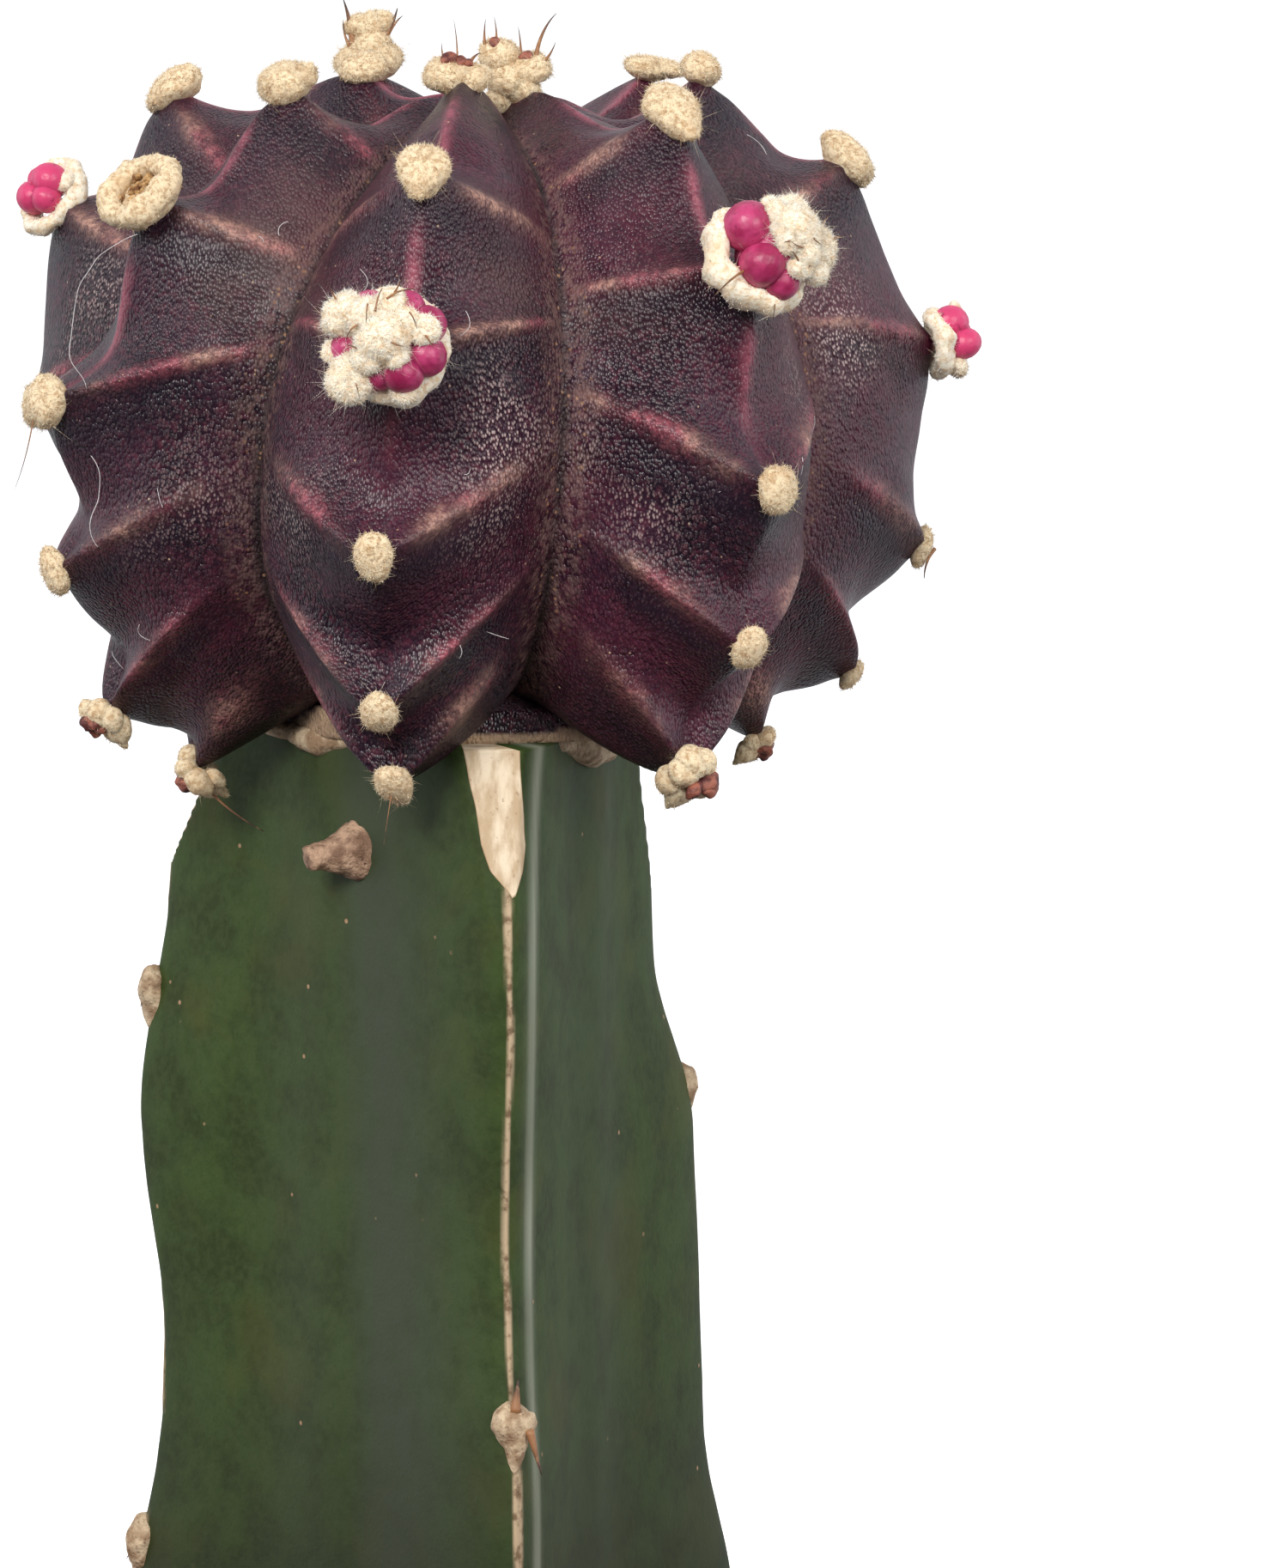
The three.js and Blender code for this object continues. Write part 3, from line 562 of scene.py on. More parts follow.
def stem_finish():
    """Waxy green skin, grey bloom, a corky line, cut scars, and painted sheen, edge highlight and low shade.
    """
    f = Finish("stem_skin")
    cut, line, bloom, edge = f.marks("cut", "line", "bloom", "edge")
    mottle = f.noise(3.2, 4.0)
    colour = f.mix(f.span(mottle, 0.34, 0.66), (42, 54, 22), (55, 73, 33))
    colour = f.patches(colour, (66, 80, 43), 0.5, 0.36, 0.64, 0.35, 5.0)
    colour = f.patches(colour, (30, 44, 12), 0.22, 0.5, 0.7, 0.35, 4.0, 0.7)
    colour = f.patches(colour, (76, 78, 34), 7.0, 0.5, 0.68, 0.4)
    # bloom: grey wax bloom towards the valleys, plus a painted sheen band on the front rib's left flank
    colour = f.mix(f.times(bloom, f.span(f.noise(1.6, 4.0), 0.2, 0.6, 0.65, 1.0)), colour, (62, 70, 54))
    # Painted shade: the stem darkens towards its foot
    height = f.node("ShaderNodeSeparateXYZ", {"Vector": f.place}).outputs["Z"]
    colour = f.mix(f.span(height, 0.06, 0.088, 0.8, 0.0), colour, (34, 38, 26))
    # edge marks a painted highlight, a pale sheen line beside the front rib's edge
    colour = f.mix(f.times(edge, 0.95), colour, (172, 176, 158))
    dots = f.times(f.span(f.cells(2.6), 0.06, 0.03), f.span(f.noise(6.0), 0.48, 0.58))
    colour = f.mix(f.times(dots, 0.8), colour, (176, 140, 110))
    streaks = f.noise(0.9, 5.0, vector=f.stretched((1, 1, 0.3)))
    tan = f.mix(f.span(streaks, 0.36, 0.64), (190, 166, 136), (228, 211, 186))
    tan = f.patches(tan, (140, 104, 80), 0.25, 0.62, 0.72, 0.5, 4.0)
    tan = f.mix(f.span(cut, 0.6, 0.51, 0.0, 0.75), tan, (150, 118, 88))
    colour = f.mix(line, colour, f.patches((118, 96, 74), (184, 162, 134), 0.6, 0.32, 0.55, 1.0, 5.0))
    scar = f.span(cut, 0.5, 0.52)
    colour = f.mix(scar, colour, tan)
    waxy = f.bump(f.noise(0.22, 3.0), 0.02, f.bump(mottle, 0.1))
    rough = f.span(f.math("MAXIMUM", scar, line), 0.0, 1.0, 0.58, 0.85)
    return f.done(Base_Color=colour, Roughness=rough, Normal=waxy, Specular_IOR_Level=0.15)


def clay_finish():
    """Unglazed clay in two tones, with fine grain, pale salt bloom and small dark spots."""
    f = Finish("clay")
    salty, = f.marks("salt")
    grain = f.noise(0.8, 6.0)
    colour = f.patches((170, 92, 62), (198, 120, 86), 14.0, 0.36, 0.64, 1.0, 4.0)
    colour = f.mix(f.span(grain, 0.35, 0.7, 0.0, 0.35), colour, (148, 76, 52))
    salt = f.times(salty, f.span(f.noise(6.0, 6.0), 0.46, 0.64), 0.6)
    colour = f.mix(salt, colour, (222, 196, 176))
    colour = f.mix(f.span(f.cells(1.9), 0.09, 0.04, 0.0, 0.6), colour, (110, 62, 46))
    turned = f.noise(2.2, 2.0, vector=f.stretched((0.05, 0.05, 1.0)))
    return f.done(Base_Color=colour, Roughness=0.88, Normal=f.bump(grain, 0.12, f.bump(turned, 0.16)))


def soil_finish():
    """Dark potting mix. The mark picks each grain's kind: peat, bark or white pumice."""
    f = Finish("soil")
    kind, = f.marks("mark")
    peat = f.patches((42, 30, 22), (84, 62, 46), 1.1, 0.35, 0.65, 1.0, 5.0)
    bark = f.mix(f.noise(0.9, 4.0), (96, 64, 42), (150, 110, 76))
    pumice = f.mix(f.noise(0.7, 4.0), (178, 170, 158), (226, 220, 208))
    colour = f.mix(f.span(kind, 0.6, 0.64), peat, bark)
    colour = f.mix(f.span(kind, 0.86, 0.9), colour, pumice)
    return f.done(Base_Color=colour, Roughness=0.95, Normal=f.bump(f.noise(0.5, 5.0), 0.35))


FINISHES = {
    "head": head_finish(), "cobweb": cobweb_finish(),
    "wool": wool_finish("new_wool", (230, 202, 166), (255, 244, 224), (236, 204, 164)),
    "fibre": fibre_finish("new_wool_fibre", (242, 222, 192), (255, 251, 240)),
    "old_wool": wool_finish("old_wool", (192, 160, 122), (238, 218, 184), (206, 170, 128)),
    "old_fibre": fibre_finish("old_wool_fibre", (208, 180, 142), (243, 226, 196)),
    "spine": spine_finish(), "offset": offset_finish(),
    "bud": rough_finish("bud", (84, 36, 34), (156, 92, 74), 0.6, 0.38, 0.62, 4.0, 0.6, (0.25, 4.0), 0.1),
    "crumb": rough_finish(
        "crumb", (112, 70, 38), (206, 166, 112), 0.5, 0.36, 0.64, 4.0, 0.85, (0.2, 4.0), 0.12),
    "cork": rough_finish(
        "cork", (150, 122, 94), (206, 184, 154), 0.8, 0.36, 0.64, 5.0, 0.85, (0.3, 5.0), 0.15,
        ((98, 70, 50), 0.3, 0.6, 0.7, 0.7)),
    "root": rough_finish(
        "dry_root", (124, 94, 74), (190, 156, 130), 0.9, 0.38, 0.62, 4.0, 0.75, (0.3, 5.0), 0.2,
        ((78, 50, 42), 0.35, 0.62, 0.74, 1.0)),
    "stem": stem_finish(), "clay": clay_finish(), "soil": soil_finish(),
}


# Head

def head_valley(angle):
    """The head's valley line at angles in degrees: radius, height and which way the ribs stand out."""
    a = np.radians(angle)
    c, s = np.cos(a), np.sin(a)
    low = s < 0
    power = np.where(low, HEAD_BOTTOM_POWER, 2.0)
    tall = np.where(low, HEAD_VALLEY_DOWN, HEAD_VALLEY_UP)
    across = np.maximum(c, 0) ** (2 / power)
    along = np.sign(s) * np.abs(s) ** (2 / power)
    out_r = across ** (power - 1) / HEAD_VALLEY_RADIUS
    out_z = np.sign(s) * np.abs(along) ** (power - 1) / tall
    size = np.hypot(out_r, out_z)
    out_r, out_z = out_r / size + np.where(low, -0.4 * s, 0), out_z / size
    size = np.hypot(out_r, out_z)
    return HEAD_VALLEY_RADIUS * across, HEAD_CENTRE + tall * along, out_r / size, out_z / size


def rib_azimuth(rib, angle):
    """The crest's azimuth, which leans from the crown to the base."""
    return rib["azimuth"] + rib["lean"] * np.sin(np.radians(angle))


def rib_height(rib, angle):
    crown = smoothstep(90 - angle, 2, 48)
    base = smoothstep(angle, HEAD_END_ANGLE, HEAD_END_ANGLE + 10)
    swell = lerp(rib["reach"], rib["lower"], smoothstep(-angle, -20, 30))
    return RIB_HEIGHT * swell * (0.2 + 0.8 * crown) * lerp(0.25, 1, base)


def areole_stretch(rib, angle):
    """The stretch between two areoles that an angle lies in, its span, and how far down it, 0 to 1."""
    above, below = rib["areoles"][0] + END_SPANS[0], rib["areoles"][-1] - END_SPANS[1]
    stops = np.array([above, *rib["areoles"], below], float)
    k = np.clip(np.searchsorted(-stops, -angle, side="right") - 1, 0, len(stops) - 2)
    span = stops[k] - stops[k + 1]
    return k, span, np.clip((stops[k] - angle) / span, 0, 1)


def fold_rise(row):
    """How far, in degrees, the folds at an angle have risen by the time they reach the valley."""
    side = SIDE_FOLD_RISE * smoothstep(-row, -34, 2)
    low = LOW_FOLD_RISE * smoothstep(-row, 15, 50)
    return (side + low) * smoothstep(row, HEAD_END_ANGLE, HEAD_END_ANGLE + 16)


def flank_place(rib, neighbour, row, across):
    """The angle and azimuth of points on a rib's row, from its crest (0) to the next valley (1)."""
    angle = row + fold_rise(row) * across
    crest = rib_azimuth(rib, angle)
    return angle, crest + turn_to(crest, rib_azimuth(neighbour, angle)) / 2 * across


def head_relief(rib, row, angle, across):
    """How far the skin stands out from the valley line, and its marks for folds, painted shade below them and
    sharp crests.
    """
    k, span, share = areole_stretch(rib, row)
    lifts = rib.get("lifts", (0,) * 6)
    levels = np.array([lifts[0], *lifts, lifts[-1]], float)
    lift = lerp(levels[k], levels[k + 1], share)
    full = np.minimum(1, span / FULL_SPAN) * np.array(rib.get("sags", (1,) * 7), float)[k]
    sag = np.sin(math.pi * share ** SAG_SKEW) * full
    fade = smoothstep(90 - row, 4, 24) * smoothstep(row, HEAD_END_ANGLE, HEAD_END_ANGLE + 12)
    below = np.where(share < 0.5, share, share - 1) * span * MM_PER_DEGREE
    sideways = across * FLANK_WIDTH * np.maximum(0.25, np.cos(np.radians(angle)))
    low = smoothstep(-row, 0, 20)
    fold = bell(below + 0.1, 0.62) * (1 - smoothstep(across, 0.55 - 0.2 * low, 0.95 - 0.1 * low))
    groove = bell(below - 1.1, 0.75) * (1 - smoothstep(across, 0.4, 0.9))
    tubercle = TUBERCLE_HEIGHT * np.exp(-(below ** 2 + sideways ** 2) / TUBERCLE_WIDTH ** 2)
    dip = AREOLE_DIP * sag * bell(across, 0.36)
    dip = dip + FLANK_DIP * np.sin(math.pi * share ** 1.15) * full * (1 - across ** 2)
    blunt = lerp(0.02, 0.12, smoothstep(-row, -12, 14))
    rounded = np.hypot(across, blunt) - blunt * (1 - across)
    body = (rib_height(rib, angle) + lift) * (1 - np.clip(rounded, 0, 1) ** RIB_FULLNESS)
    relief = body + fade * (FOLD_HEIGHT * fold + tubercle - dip - GROOVE_DEPTH * groove)
    pink = bell(below + 0.15, 0.56 + 0.16 * low) * (1 - smoothstep(across, 0.8 - 0.4 * low, 1 - 0.15 * low))
    pink = pink * smoothstep(sideways, 0.9, 2.8)
    sharp = bell(sideways, 0.3) * smoothstep(row, -8, 14) * smoothstep(sag, 0.05, 0.35)
    # hollow marks painted shade below each fold, darkest a little under it
    hollow = bell(below - 1.9, 1.5) * (1 - smoothstep(across, 0.5, 0.95))
    return relief, pink * fade, hollow * fade, sharp


def head_point(rib, row, across=0.0, neighbour=None):
    """A point of the skin on a rib's row, on the flank that faces the given neighbour."""
    row, across = np.asarray(row, float), np.asarray(across, float)
    angle, azimuth = flank_place(rib, neighbour or rib, row, across)
    relief = head_relief(rib, row, angle, across)[0]
    r, z, out_r, out_z = head_valley(angle)
    point = polar(r + relief * out_r, azimuth, z + relief * out_z) + [HEAD_OFFSET_X, 0, GRAFT_Z]
    return point, unit(polar(out_r, azimuth, out_z))


def areole(rib_index, number):
    """The tip of an areole's tubercle and which way it faces."""
    return head_point(HEAD_RIBS[rib_index], HEAD_RIBS[rib_index]["areoles"][number])


NECK_RINGS = (1.7, 1.4, 1.1, 0.85, 0.6, 0.4, 0.2, 0.0)


def make_head():
    """The head's skin: flanks of ribs from crest to valley and back, with a short neck below."""
    rows, crown_rows, half_columns = 250, 40, 22
    base = np.concatenate([np.linspace(88, 60, crown_rows, endpoint=False),
                           np.linspace(60, HEAD_END_ANGLE, rows - crown_rows)])
    shares = (np.arange(1, half_columns + 1) / half_columns) ** 1.12
    rings, flanks = [], []
    for k, rib in enumerate(HEAD_RIBS):
        for side, columns in ((-1, shares[-2::-1]), (1, np.concatenate([[0], shares]))):
            row, u = np.meshgrid(base, columns, indexing="ij")
            angle, azimuth = flank_place(rib, HEAD_RIBS[(k + side) % len(HEAD_RIBS)], row, u)
            # hollow carries painted shade below each fold into the skin's colour
            relief, fold, hollow, sharp = head_relief(rib, row, angle, u)
            r, z, out_r, out_z = head_valley(angle)
            surface = polar(r, azimuth, z)
            uneven = 0.14 * noise(surface, 3.4, 5) + 0.06 * noise(surface, 1.2, 9)
            relief = relief + uneven * smoothstep(row, HEAD_END_ANGLE, HEAD_END_ANGLE + 6)
            rings.append(polar(r + relief * out_r, azimuth, z + relief * out_z))
            blush = (0.6 * smoothstep(noise(surface, 6.5, 21), -0.1, 0.55)
                     + 0.3 * smoothstep(surface[..., 0], 10, 20) + 0.2 * smoothstep(row, 40, 60))
            # Dust film towards the valleys; its fade towards the crown also darkens the top as painted shade
            # against the light from above
            dusty = (smoothstep(u, 0.12, 0.7) * smoothstep(row, 0, 30) * (1 - 0.8 * smoothstep(row, 34, 62))
                     * smoothstep(noise(surface, 5.0, 33), -0.55, 0.25))
            # glint marks where painted highlights go on the pebbles: mid-flanks at mid-height, away from the
            # folds
            glint = (smoothstep(u, 0.25, 0.6) * (1 - smoothstep(u, 0.85, 1))
                     * smoothstep(-np.abs(row), -34, -8) * smoothstep(noise(surface, 4.0, 35), -0.2, 0.45)
                     * (1 - fold))
            flanks.append({"fold": fold, "hollow": hollow, "crest": sharp, "crease": smoothstep(u, 0.7, 1.0),
                           "blush": blush, "cork": np.zeros(u.shape), "dusty": dusty, "glint": glint})
    rings = np.concatenate(rings, 1)
    azimuth = np.degrees(np.arctan2(rings[0, :, 0], -rings[0, :, 1]))
    neck = [polar(HEAD_NECK_RADIUS + 0.25 * noise(polar(9.0, azimuth, z), 2.0, 6), azimuth, z)
            for z in NECK_RINGS]
    rings = np.concatenate([rings, np.stack(neck)]) + [HEAD_OFFSET_X, 0, GRAFT_Z]
    above, below = (np.array([HEAD_OFFSET_X, 0, GRAFT_Z + z]) for z in (HEAD_CENTRE + HEAD_VALLEY_UP, 0.0))
    bare = np.zeros((len(NECK_RINGS), len(azimuth)))
    edge = 0.45 + 0.5 * noise(polar(9.0, azimuth, 0.0), 3.0, 14)
    edge = edge + 1.5 * bell(turn_to(62, azimuth), 26) + bell(turn_to(-45, azimuth), 20)
    corky = np.stack([1 - smoothstep(z, edge - 0.1, edge + 0.1) for z in NECK_RINGS])
    attributes = {}
    for key in flanks[0]:
        neck_marks = corky if key == "cork" else bare
        values = np.concatenate([np.concatenate([flank[key] for flank in flanks], 1), neck_marks])
        attributes[key] = np.concatenate([[0.0], values.ravel(), [neck_marks[-1, 0]]])
    lone_piece(skin_points(rings, above, below), skin_faces(len(rings), rings.shape[1]),
               "head_skin", "head", "head_skin", ["scion"], attributes)


# Wool, spines and offsets

# Fibres of the felt: share of them, shortest, longest, how far they stand up, width and steps.
FIBRES = (
    (0.88, 0.13, 0.32, 0.4, 0.025, 1), (0.08, 0.22, 0.45, 0.3, 0.014, 2), (0.04, 0.35, 0.75, 0.2, 0.01, 3),
)
# Fibres on a tuft of 1 mm radius, growing with its area, and on a ring for each millimetre of its radius
OLD_WOOL_FIBRES, CROWN_FIBRES, NEW_WOOL_FIBRES, RING_FIBRES = 620, 900, 1700, 700
RING_CRUMBS = 60
SHORT_HAIRS = 46


def fuzz(fibres, points, faces, centres, count, rng, size):
    """Matted fibres all over some triangles. They stand away from the centres."""
    for share, low, high, lift, width, steps in FIBRES:
        n = int(count * share)
        chosen = faces[rng.integers(len(faces), size=n)]
        weights = rng.dirichlet((1, 1, 1), n)[..., None]
        base = (points[chosen] * weights).sum(1)
        away = unit(base - (centres[chosen] * weights).sum(1))
        lengths = rng.uniform(low, high, n) * size
        bend = rng.normal(0, 0.9, (n, 3)) * lengths[:, None] * (steps > 1)
        aim = away * lift + rng.normal(0, 0.5, (n, 3))
        fibres.add(*strands(base - away * 0.03, aim, lengths, np.full(n, width), bend, steps))


def tuft(felt, fibres, centre, outward, radius, rng, flat, stretch, count, tail=0.0):
    """A clump of matted wool with loose fibres on it. tail draws its lower end out to a point."""
    points, faces = BALL_FINE
    shape = drawn_out(points, 0.55 * tail, tail) * [radius, radius * stretch, radius * flat]
    placed = oriented(shape, centre, outward)
    lump = 0.16 * noise(placed, 1.3, 31) + 0.07 * noise(placed, 0.5, 32) + 0.05 * noise(placed, 0.22, 33)
    placed = placed + (placed - centre) * (lump * min(1.0, 1.2 / radius))[:, None]
    felt.add(placed, [faces])
    outer = faces[points[faces].mean(1)[:, 2] > -0.35]
    centres = np.broadcast_to(centre, placed.shape)
    fuzz(fibres, placed, outer, centres, count, rng, min(1.0, 0.5 + radius / 2))


def wool_ring(felt, fibres, tip, outward, radius, thick, rng):
    """The ragged ring of old wool that an offset pushes up out of."""
    right, up = basis(outward)
    around, section = 72, 14
    turn = np.linspace(0, 2 * math.pi, around, endpoint=False)
    spin = np.linspace(0, 2 * math.pi, section, endpoint=False)
    side = right * np.cos(turn)[:, None] + up * np.sin(turn)[:, None]
    core = tip + side * radius + outward * (0.35 * thick)
    core = core + side * 0.22 * noise(core, 1.6, 51)[:, None] + outward * 0.25 * noise(core, 1.1, 52)[:, None]
    ring = (side[:, None] * np.cos(spin)[None, :, None] + outward * np.sin(spin)[None, :, None] * 1.1) * thick
    placed = core[:, None] + ring
    lump = 1 + 0.42 * noise(placed, 0.9, 53) + 0.2 * noise(placed, 0.35, 54)
    placed = (core[:, None] + ring * lump[..., None]).reshape(-1, 3)
    quads = loop_faces(around, section)
    felt.add(placed, [quads])
    triangles = np.concatenate([quads[:, :3], quads[:, [0, 2, 3]]])
    fuzz(fibres, placed, triangles, np.repeat(core, section, 0), int(RING_FIBRES * radius), rng, 0.9)


def spine(pile, root, direction, length, width, droop=0.0, sweep=0.0):
    """A curved dry spine from a root. droop lowers its tip and sweep bends it sideways."""
    direction = unit(direction)
    right, up = basis(direction)
    middle = root + direction * length * 0.5 + up * sweep * length * 0.25
    tip = root + direction * length + np.array([0, 0, -droop]) + right * sweep * length * 0.2
    add_spine(pile, bezier([root, middle, tip], 9), width, 6, 0.92)


OFFSET_AREOLES = {(RIB_FRONT, 2), (RIB_RIGHT, 2), (RIB_FAR_RIGHT, 2), (RIB_LEFT, 2)}
BUD_AREOLES = {(RIB_RING, 4): 1.0, (RIB_RING, 5): 1.15, (RIB_RIGHT, 5): 1.3, (RIB_FAR_RIGHT, 5): 0.9,
               (RIB_BACK, 5): 1.0}
RING_AREOLE = (RIB_RING, 1)
# Long old spines and hairs: their areole, then their middle and end in millimetres (right, up), and a width.
HANGING = (
    ((RIB_RING, 5), (1.0, -2.2), (3.2, -3.4), 0.1), ((RIB_FRONT, 5), (-0.3, -1.6), (-0.5, -3.0), 0.035),
    ((RIB_RING, 2), (-0.8, -2.4), (-1.6, -4.4), 0.05), ((RIB_FAR_RIGHT, 3), (0.0, -0.8), (0.0, -1.7), 0.11),
)
# The radii of a rib's areoles from the crown down. Those seen from the side are smaller.
AREOLE_RADII = (1.35, 1.45, 1.2, 1.0, 0.98, 1.0)
SIDE_AREOLE_SCALE = 0.8
HIDDEN_AREOLE = (RIB_BACK_RIGHT, 1)

# The young areoles round the crown, in millimetres to the right of and above their tubercle: tufts as
# (right, up, radius, flatness), brown caps, and spines by their root, middle and tip, with a width.
CROWN = {
    RIB_LEFT: dict(tufts=((-0.2, 0.1, 1.2, 0.7),)),
    RIB_RING: dict(tufts=((-0.2, 0.05, 1.45, 0.7), (0.5, 0.35, 1.0, 0.7))),
    RIB_FRONT: dict(
        tufts=((-0.75, 0.0, 1.3, 0.7), (0.3, -0.15, 1.1, 0.7)),
        caps=((-0.8, 0.85, 0.45), (-0.2, 0.75, 0.35), (0.2, 0.65, 0.3)),
        spines=(((-0.35, 0.8), (-0.35, 1.9), (-0.53, 2.9), 0.06),
                ((0.15, 0.5), (0.5, 1.1), (0.85, 1.2), 0.14),
                ((-1.0, 0.8), (-1.2, 1.3), (-1.15, 1.7), 0.07))),
    RIB_RIGHT: dict(
        tufts=((-1.2, 2.0, 1.0, 0.8), (0.6, 1.3, 1.1, 0.75), (-0.8, 0.7, 1.15, 0.9), (0.1, 0.3, 1.0, 0.9),
               (-1.2, -0.3, 0.75, 1.0)),
        caps=((-1.4, 2.65, 0.35), (0.3, 1.95, 0.35)),
        spines=(((-1.9, 2.6), (-1.95, 3.2), (-1.85, 3.9), 0.09),
                ((-1.3, 2.7), (-1.25, 3.3), (-1.4, 4.0), 0.08), ((0.0, 1.8), (0.0, 2.7), (-0.15, 3.5), 0.09),
                ((0.75, 1.8), (1.0, 3.4), (1.85, 4.2), 0.14), ((1.2, 1.7), (1.6, 2.1), (1.8, 2.7), 0.1))),
    RIB_FAR_RIGHT: dict(tufts=((0.2, 0.35, 1.05, 0.8),)),
    RIB_BACK_RIGHT: dict(tufts=((0.2, 0.3, 1.2, 0.5), (1.1, 0.3, 1.0, 0.5))),
    RIB_BACK: dict(
        tufts=((-0.75, 0.7, 1.25, 0.8), (0.3, 0.7, 1.35, 0.8), (-0.2, 1.5, 1.2, 0.7), (-0.7, 2.5, 0.85, 0.8),
               (0.0, 2.6, 0.85, 0.8), (0.45, 2.75, 0.75, 0.8)),
        spines=(((-1.0, 1.3), (-1.15, 2.9), (-1.55, 4.0), 0.24), ((0.35, 1.8), (1.0, 2.1), (1.35, 3.5), 0.27),
                ((-1.2, 1.4), (-1.6, 2.2), (-1.55, 2.9), 0.1), ((0.9, 2.2), (1.3, 2.9), (1.65, 3.1), 0.1))),
}


def make_areoles():
    """Every areole below the crown: cushions of old wool, dried buds, long old spines and crumbs."""
    rng = np.random.default_rng(11)
    felt, fibres, spines, buds, crumbs = (Pile() for _ in range(5))
    for k in range(len(HEAD_RIBS)):
        for n in range(1, 6):
            tip, outward = areole(k, n)
            if (k, n) in OFFSET_AREOLES:
                continue
            radius = AREOLE_RADII[n] * rng.uniform(0.92, 1.08)
            if (k == RIB_FAR_RIGHT and n > 2) or (k, n) == HIDDEN_AREOLE:
                radius *= SIDE_AREOLE_SCALE
            centre = tip - outward * 0.1
            if (k, n) == RING_AREOLE:
                make_ring_areole(felt, fibres, crumbs, tip, unit(outward + np.array([0, -0.3, 0.25])), rng)
                continue
            if (k, n) in BUD_AREOLES:
                make_bud(felt, fibres, buds, tip, outward, BUD_AREOLES[k, n], rng)
                continue
            tail = 0.4 if n == 1 and k in (RIB_FRONT, RIB_RIGHT) else 0.0
            tuft(felt, fibres, centre, outward, radius, rng, rng.uniform(0.62, 0.75),
                 rng.uniform(1.15, 1.35) - 0.3 * tail, int(OLD_WOOL_FIBRES * radius ** 2), tail)
            areole_spines(spines, k, n, tip, outward, rng)
    for (k, n), middle, end, width in HANGING:
        tip, outward = areole(k, n)
        middle, end = tip + [middle[0], -0.6, middle[1]], tip + [end[0], -0.4, end[1]]
        add_spine(spines, bezier([tip + outward * 0.6, middle, end], 14), width, 6, 0.8)
    felt.piece("areole_wool", "old_wool")
    fibres.piece("areole_fibres", "old_fibre")
    spines.piece("head_spines", "spine")
    buds.piece("areole_buds", "bud")
    crumbs.piece("areole_crumbs", "crumb")


def make_ring_areole(felt, fibres, crumbs, tip, outward, rng):
    """The left rib's upper areole, an open cup of felt round a hollow of brown crumbs."""
    right, up = basis(outward)
    base = oriented(BALL_FINE[0] * [1.9, 1.75, 0.75], tip - outward * 0.1, outward)
    felt.add(base, [BALL_FINE[1]])
    wool_ring(felt, fibres, tip + outward * 0.5, outward, 1.75, 0.62, rng)
    for _ in range(RING_CRUMBS):
        spot = tip + outward * rng.uniform(0.5, 0.8) + right * rng.normal(0, 0.6) + up * rng.normal(0, 0.5)
        radius = rng.uniform(0.12, 0.3)
        shape = BALL_COARSE[0] * [radius, radius * 0.7, radius * 0.7]
        add_lump(crumbs, shape, BALL_COARSE[1], spot, rng.normal(0, 1, 3), 0.1, 0.3, 8)


def make_bud(felt, fibres, buds, tip, outward, size, rng):
    """An old areole with a dried bud: reddish scales in a ragged collar of wool that hangs down.

    The bud has draws of its own, so that it keeps its shape when the wool's draws change.
    """
    right, up = basis(outward)
    draw = np.random.default_rng(int(100 * size))
    first = draw.uniform(0, 2 * math.pi)
    for k in range(7):
        turn = first + k * 2 * math.pi / 7 + draw.uniform(-0.3, 0.3)
        spot = tip + size * (right * math.cos(turn) + up * math.sin(turn)) * draw.uniform(0.62, 0.85)
        spot = spot + outward * size * draw.uniform(0.0, 0.7)
        tuft(felt, fibres, spot, outward, size * draw.uniform(0.5, 0.72), rng,
             draw.uniform(0.8, 1.1), draw.uniform(0.8, 1.1), 150, 0.3)
    spot = tip + size * (outward * 0.3 - up * 1.05 + right * draw.uniform(-0.5, 0.3))
    tuft(felt, fibres, spot, outward, 0.45 * size, rng, 0.7, 1.0, 140, 0.8)
    for _ in range(6):
        spot = tip + size * (outward * draw.uniform(0.6, 1.15) + right * draw.normal(0.1, 0.3)
                             + up * draw.normal(0.15, 0.28))
        shape = BALL[0] * size * draw.uniform(0.4, 0.6) * [1, draw.uniform(0.6, 1), draw.uniform(0.6, 0.9)]
        add_lump(buds, shape, BALL[1], spot, outward + draw.normal(0, 0.5, 3), 0.12, 0.4, 5)


def areole_spines(pile, k, n, tip, outward, rng):
    """A thin spine here and there on the older areoles that face away from the photo."""
    right, up = basis(outward)
    if n >= 3 and (k + n) % 2 == 0 and k in (RIB_BACK, RIB_BACK_RIGHT, RIB_LEFT):
        aim = outward * 0.6 - up + right * rng.uniform(-0.6, 0.6)
        spine(pile, tip, aim, rng.uniform(1.4, 4.2), 0.045, 0.4, rng.uniform(-0.8, 0.8))


def make_crown():
    """The crown's young areoles, which still have their stout brown spines."""
    rng = np.random.default_rng(5)
    felt, fibres, spines, caps = Pile(), Pile(), Pile(), Pile()
    for k, plan in CROWN.items():
        tip, outward = areole(k, 0)
        lean = unit(outward + np.array([0, -0.5, 0.6]))
        for x, z, radius, flat in plan["tufts"]:
            tuft(felt, fibres, tip + [x, 0, z], lean, radius, rng, flat, 1.0, int(CROWN_FIBRES * radius ** 2))
        for x, z, radius in plan.get("caps", ()):
            shape = BALL[0] * [radius, radius, radius * 0.8]
            add_lump(caps, shape, BALL[1], tip + [x, -0.4, z], lean, 0.14, 0.5, 5)
        for *bends, width in plan.get("spines", ()):
            add_spine(spines, bezier([tip + [x, -0.3, z] for x, z in bends], 12), width, 7, 0.9)
    felt.piece("crown_wool", "old_wool")
    fibres.piece("crown_fibres", "old_fibre")
    spines.piece("crown_spines", "spine")
    caps.piece("crown_caps", "bud")


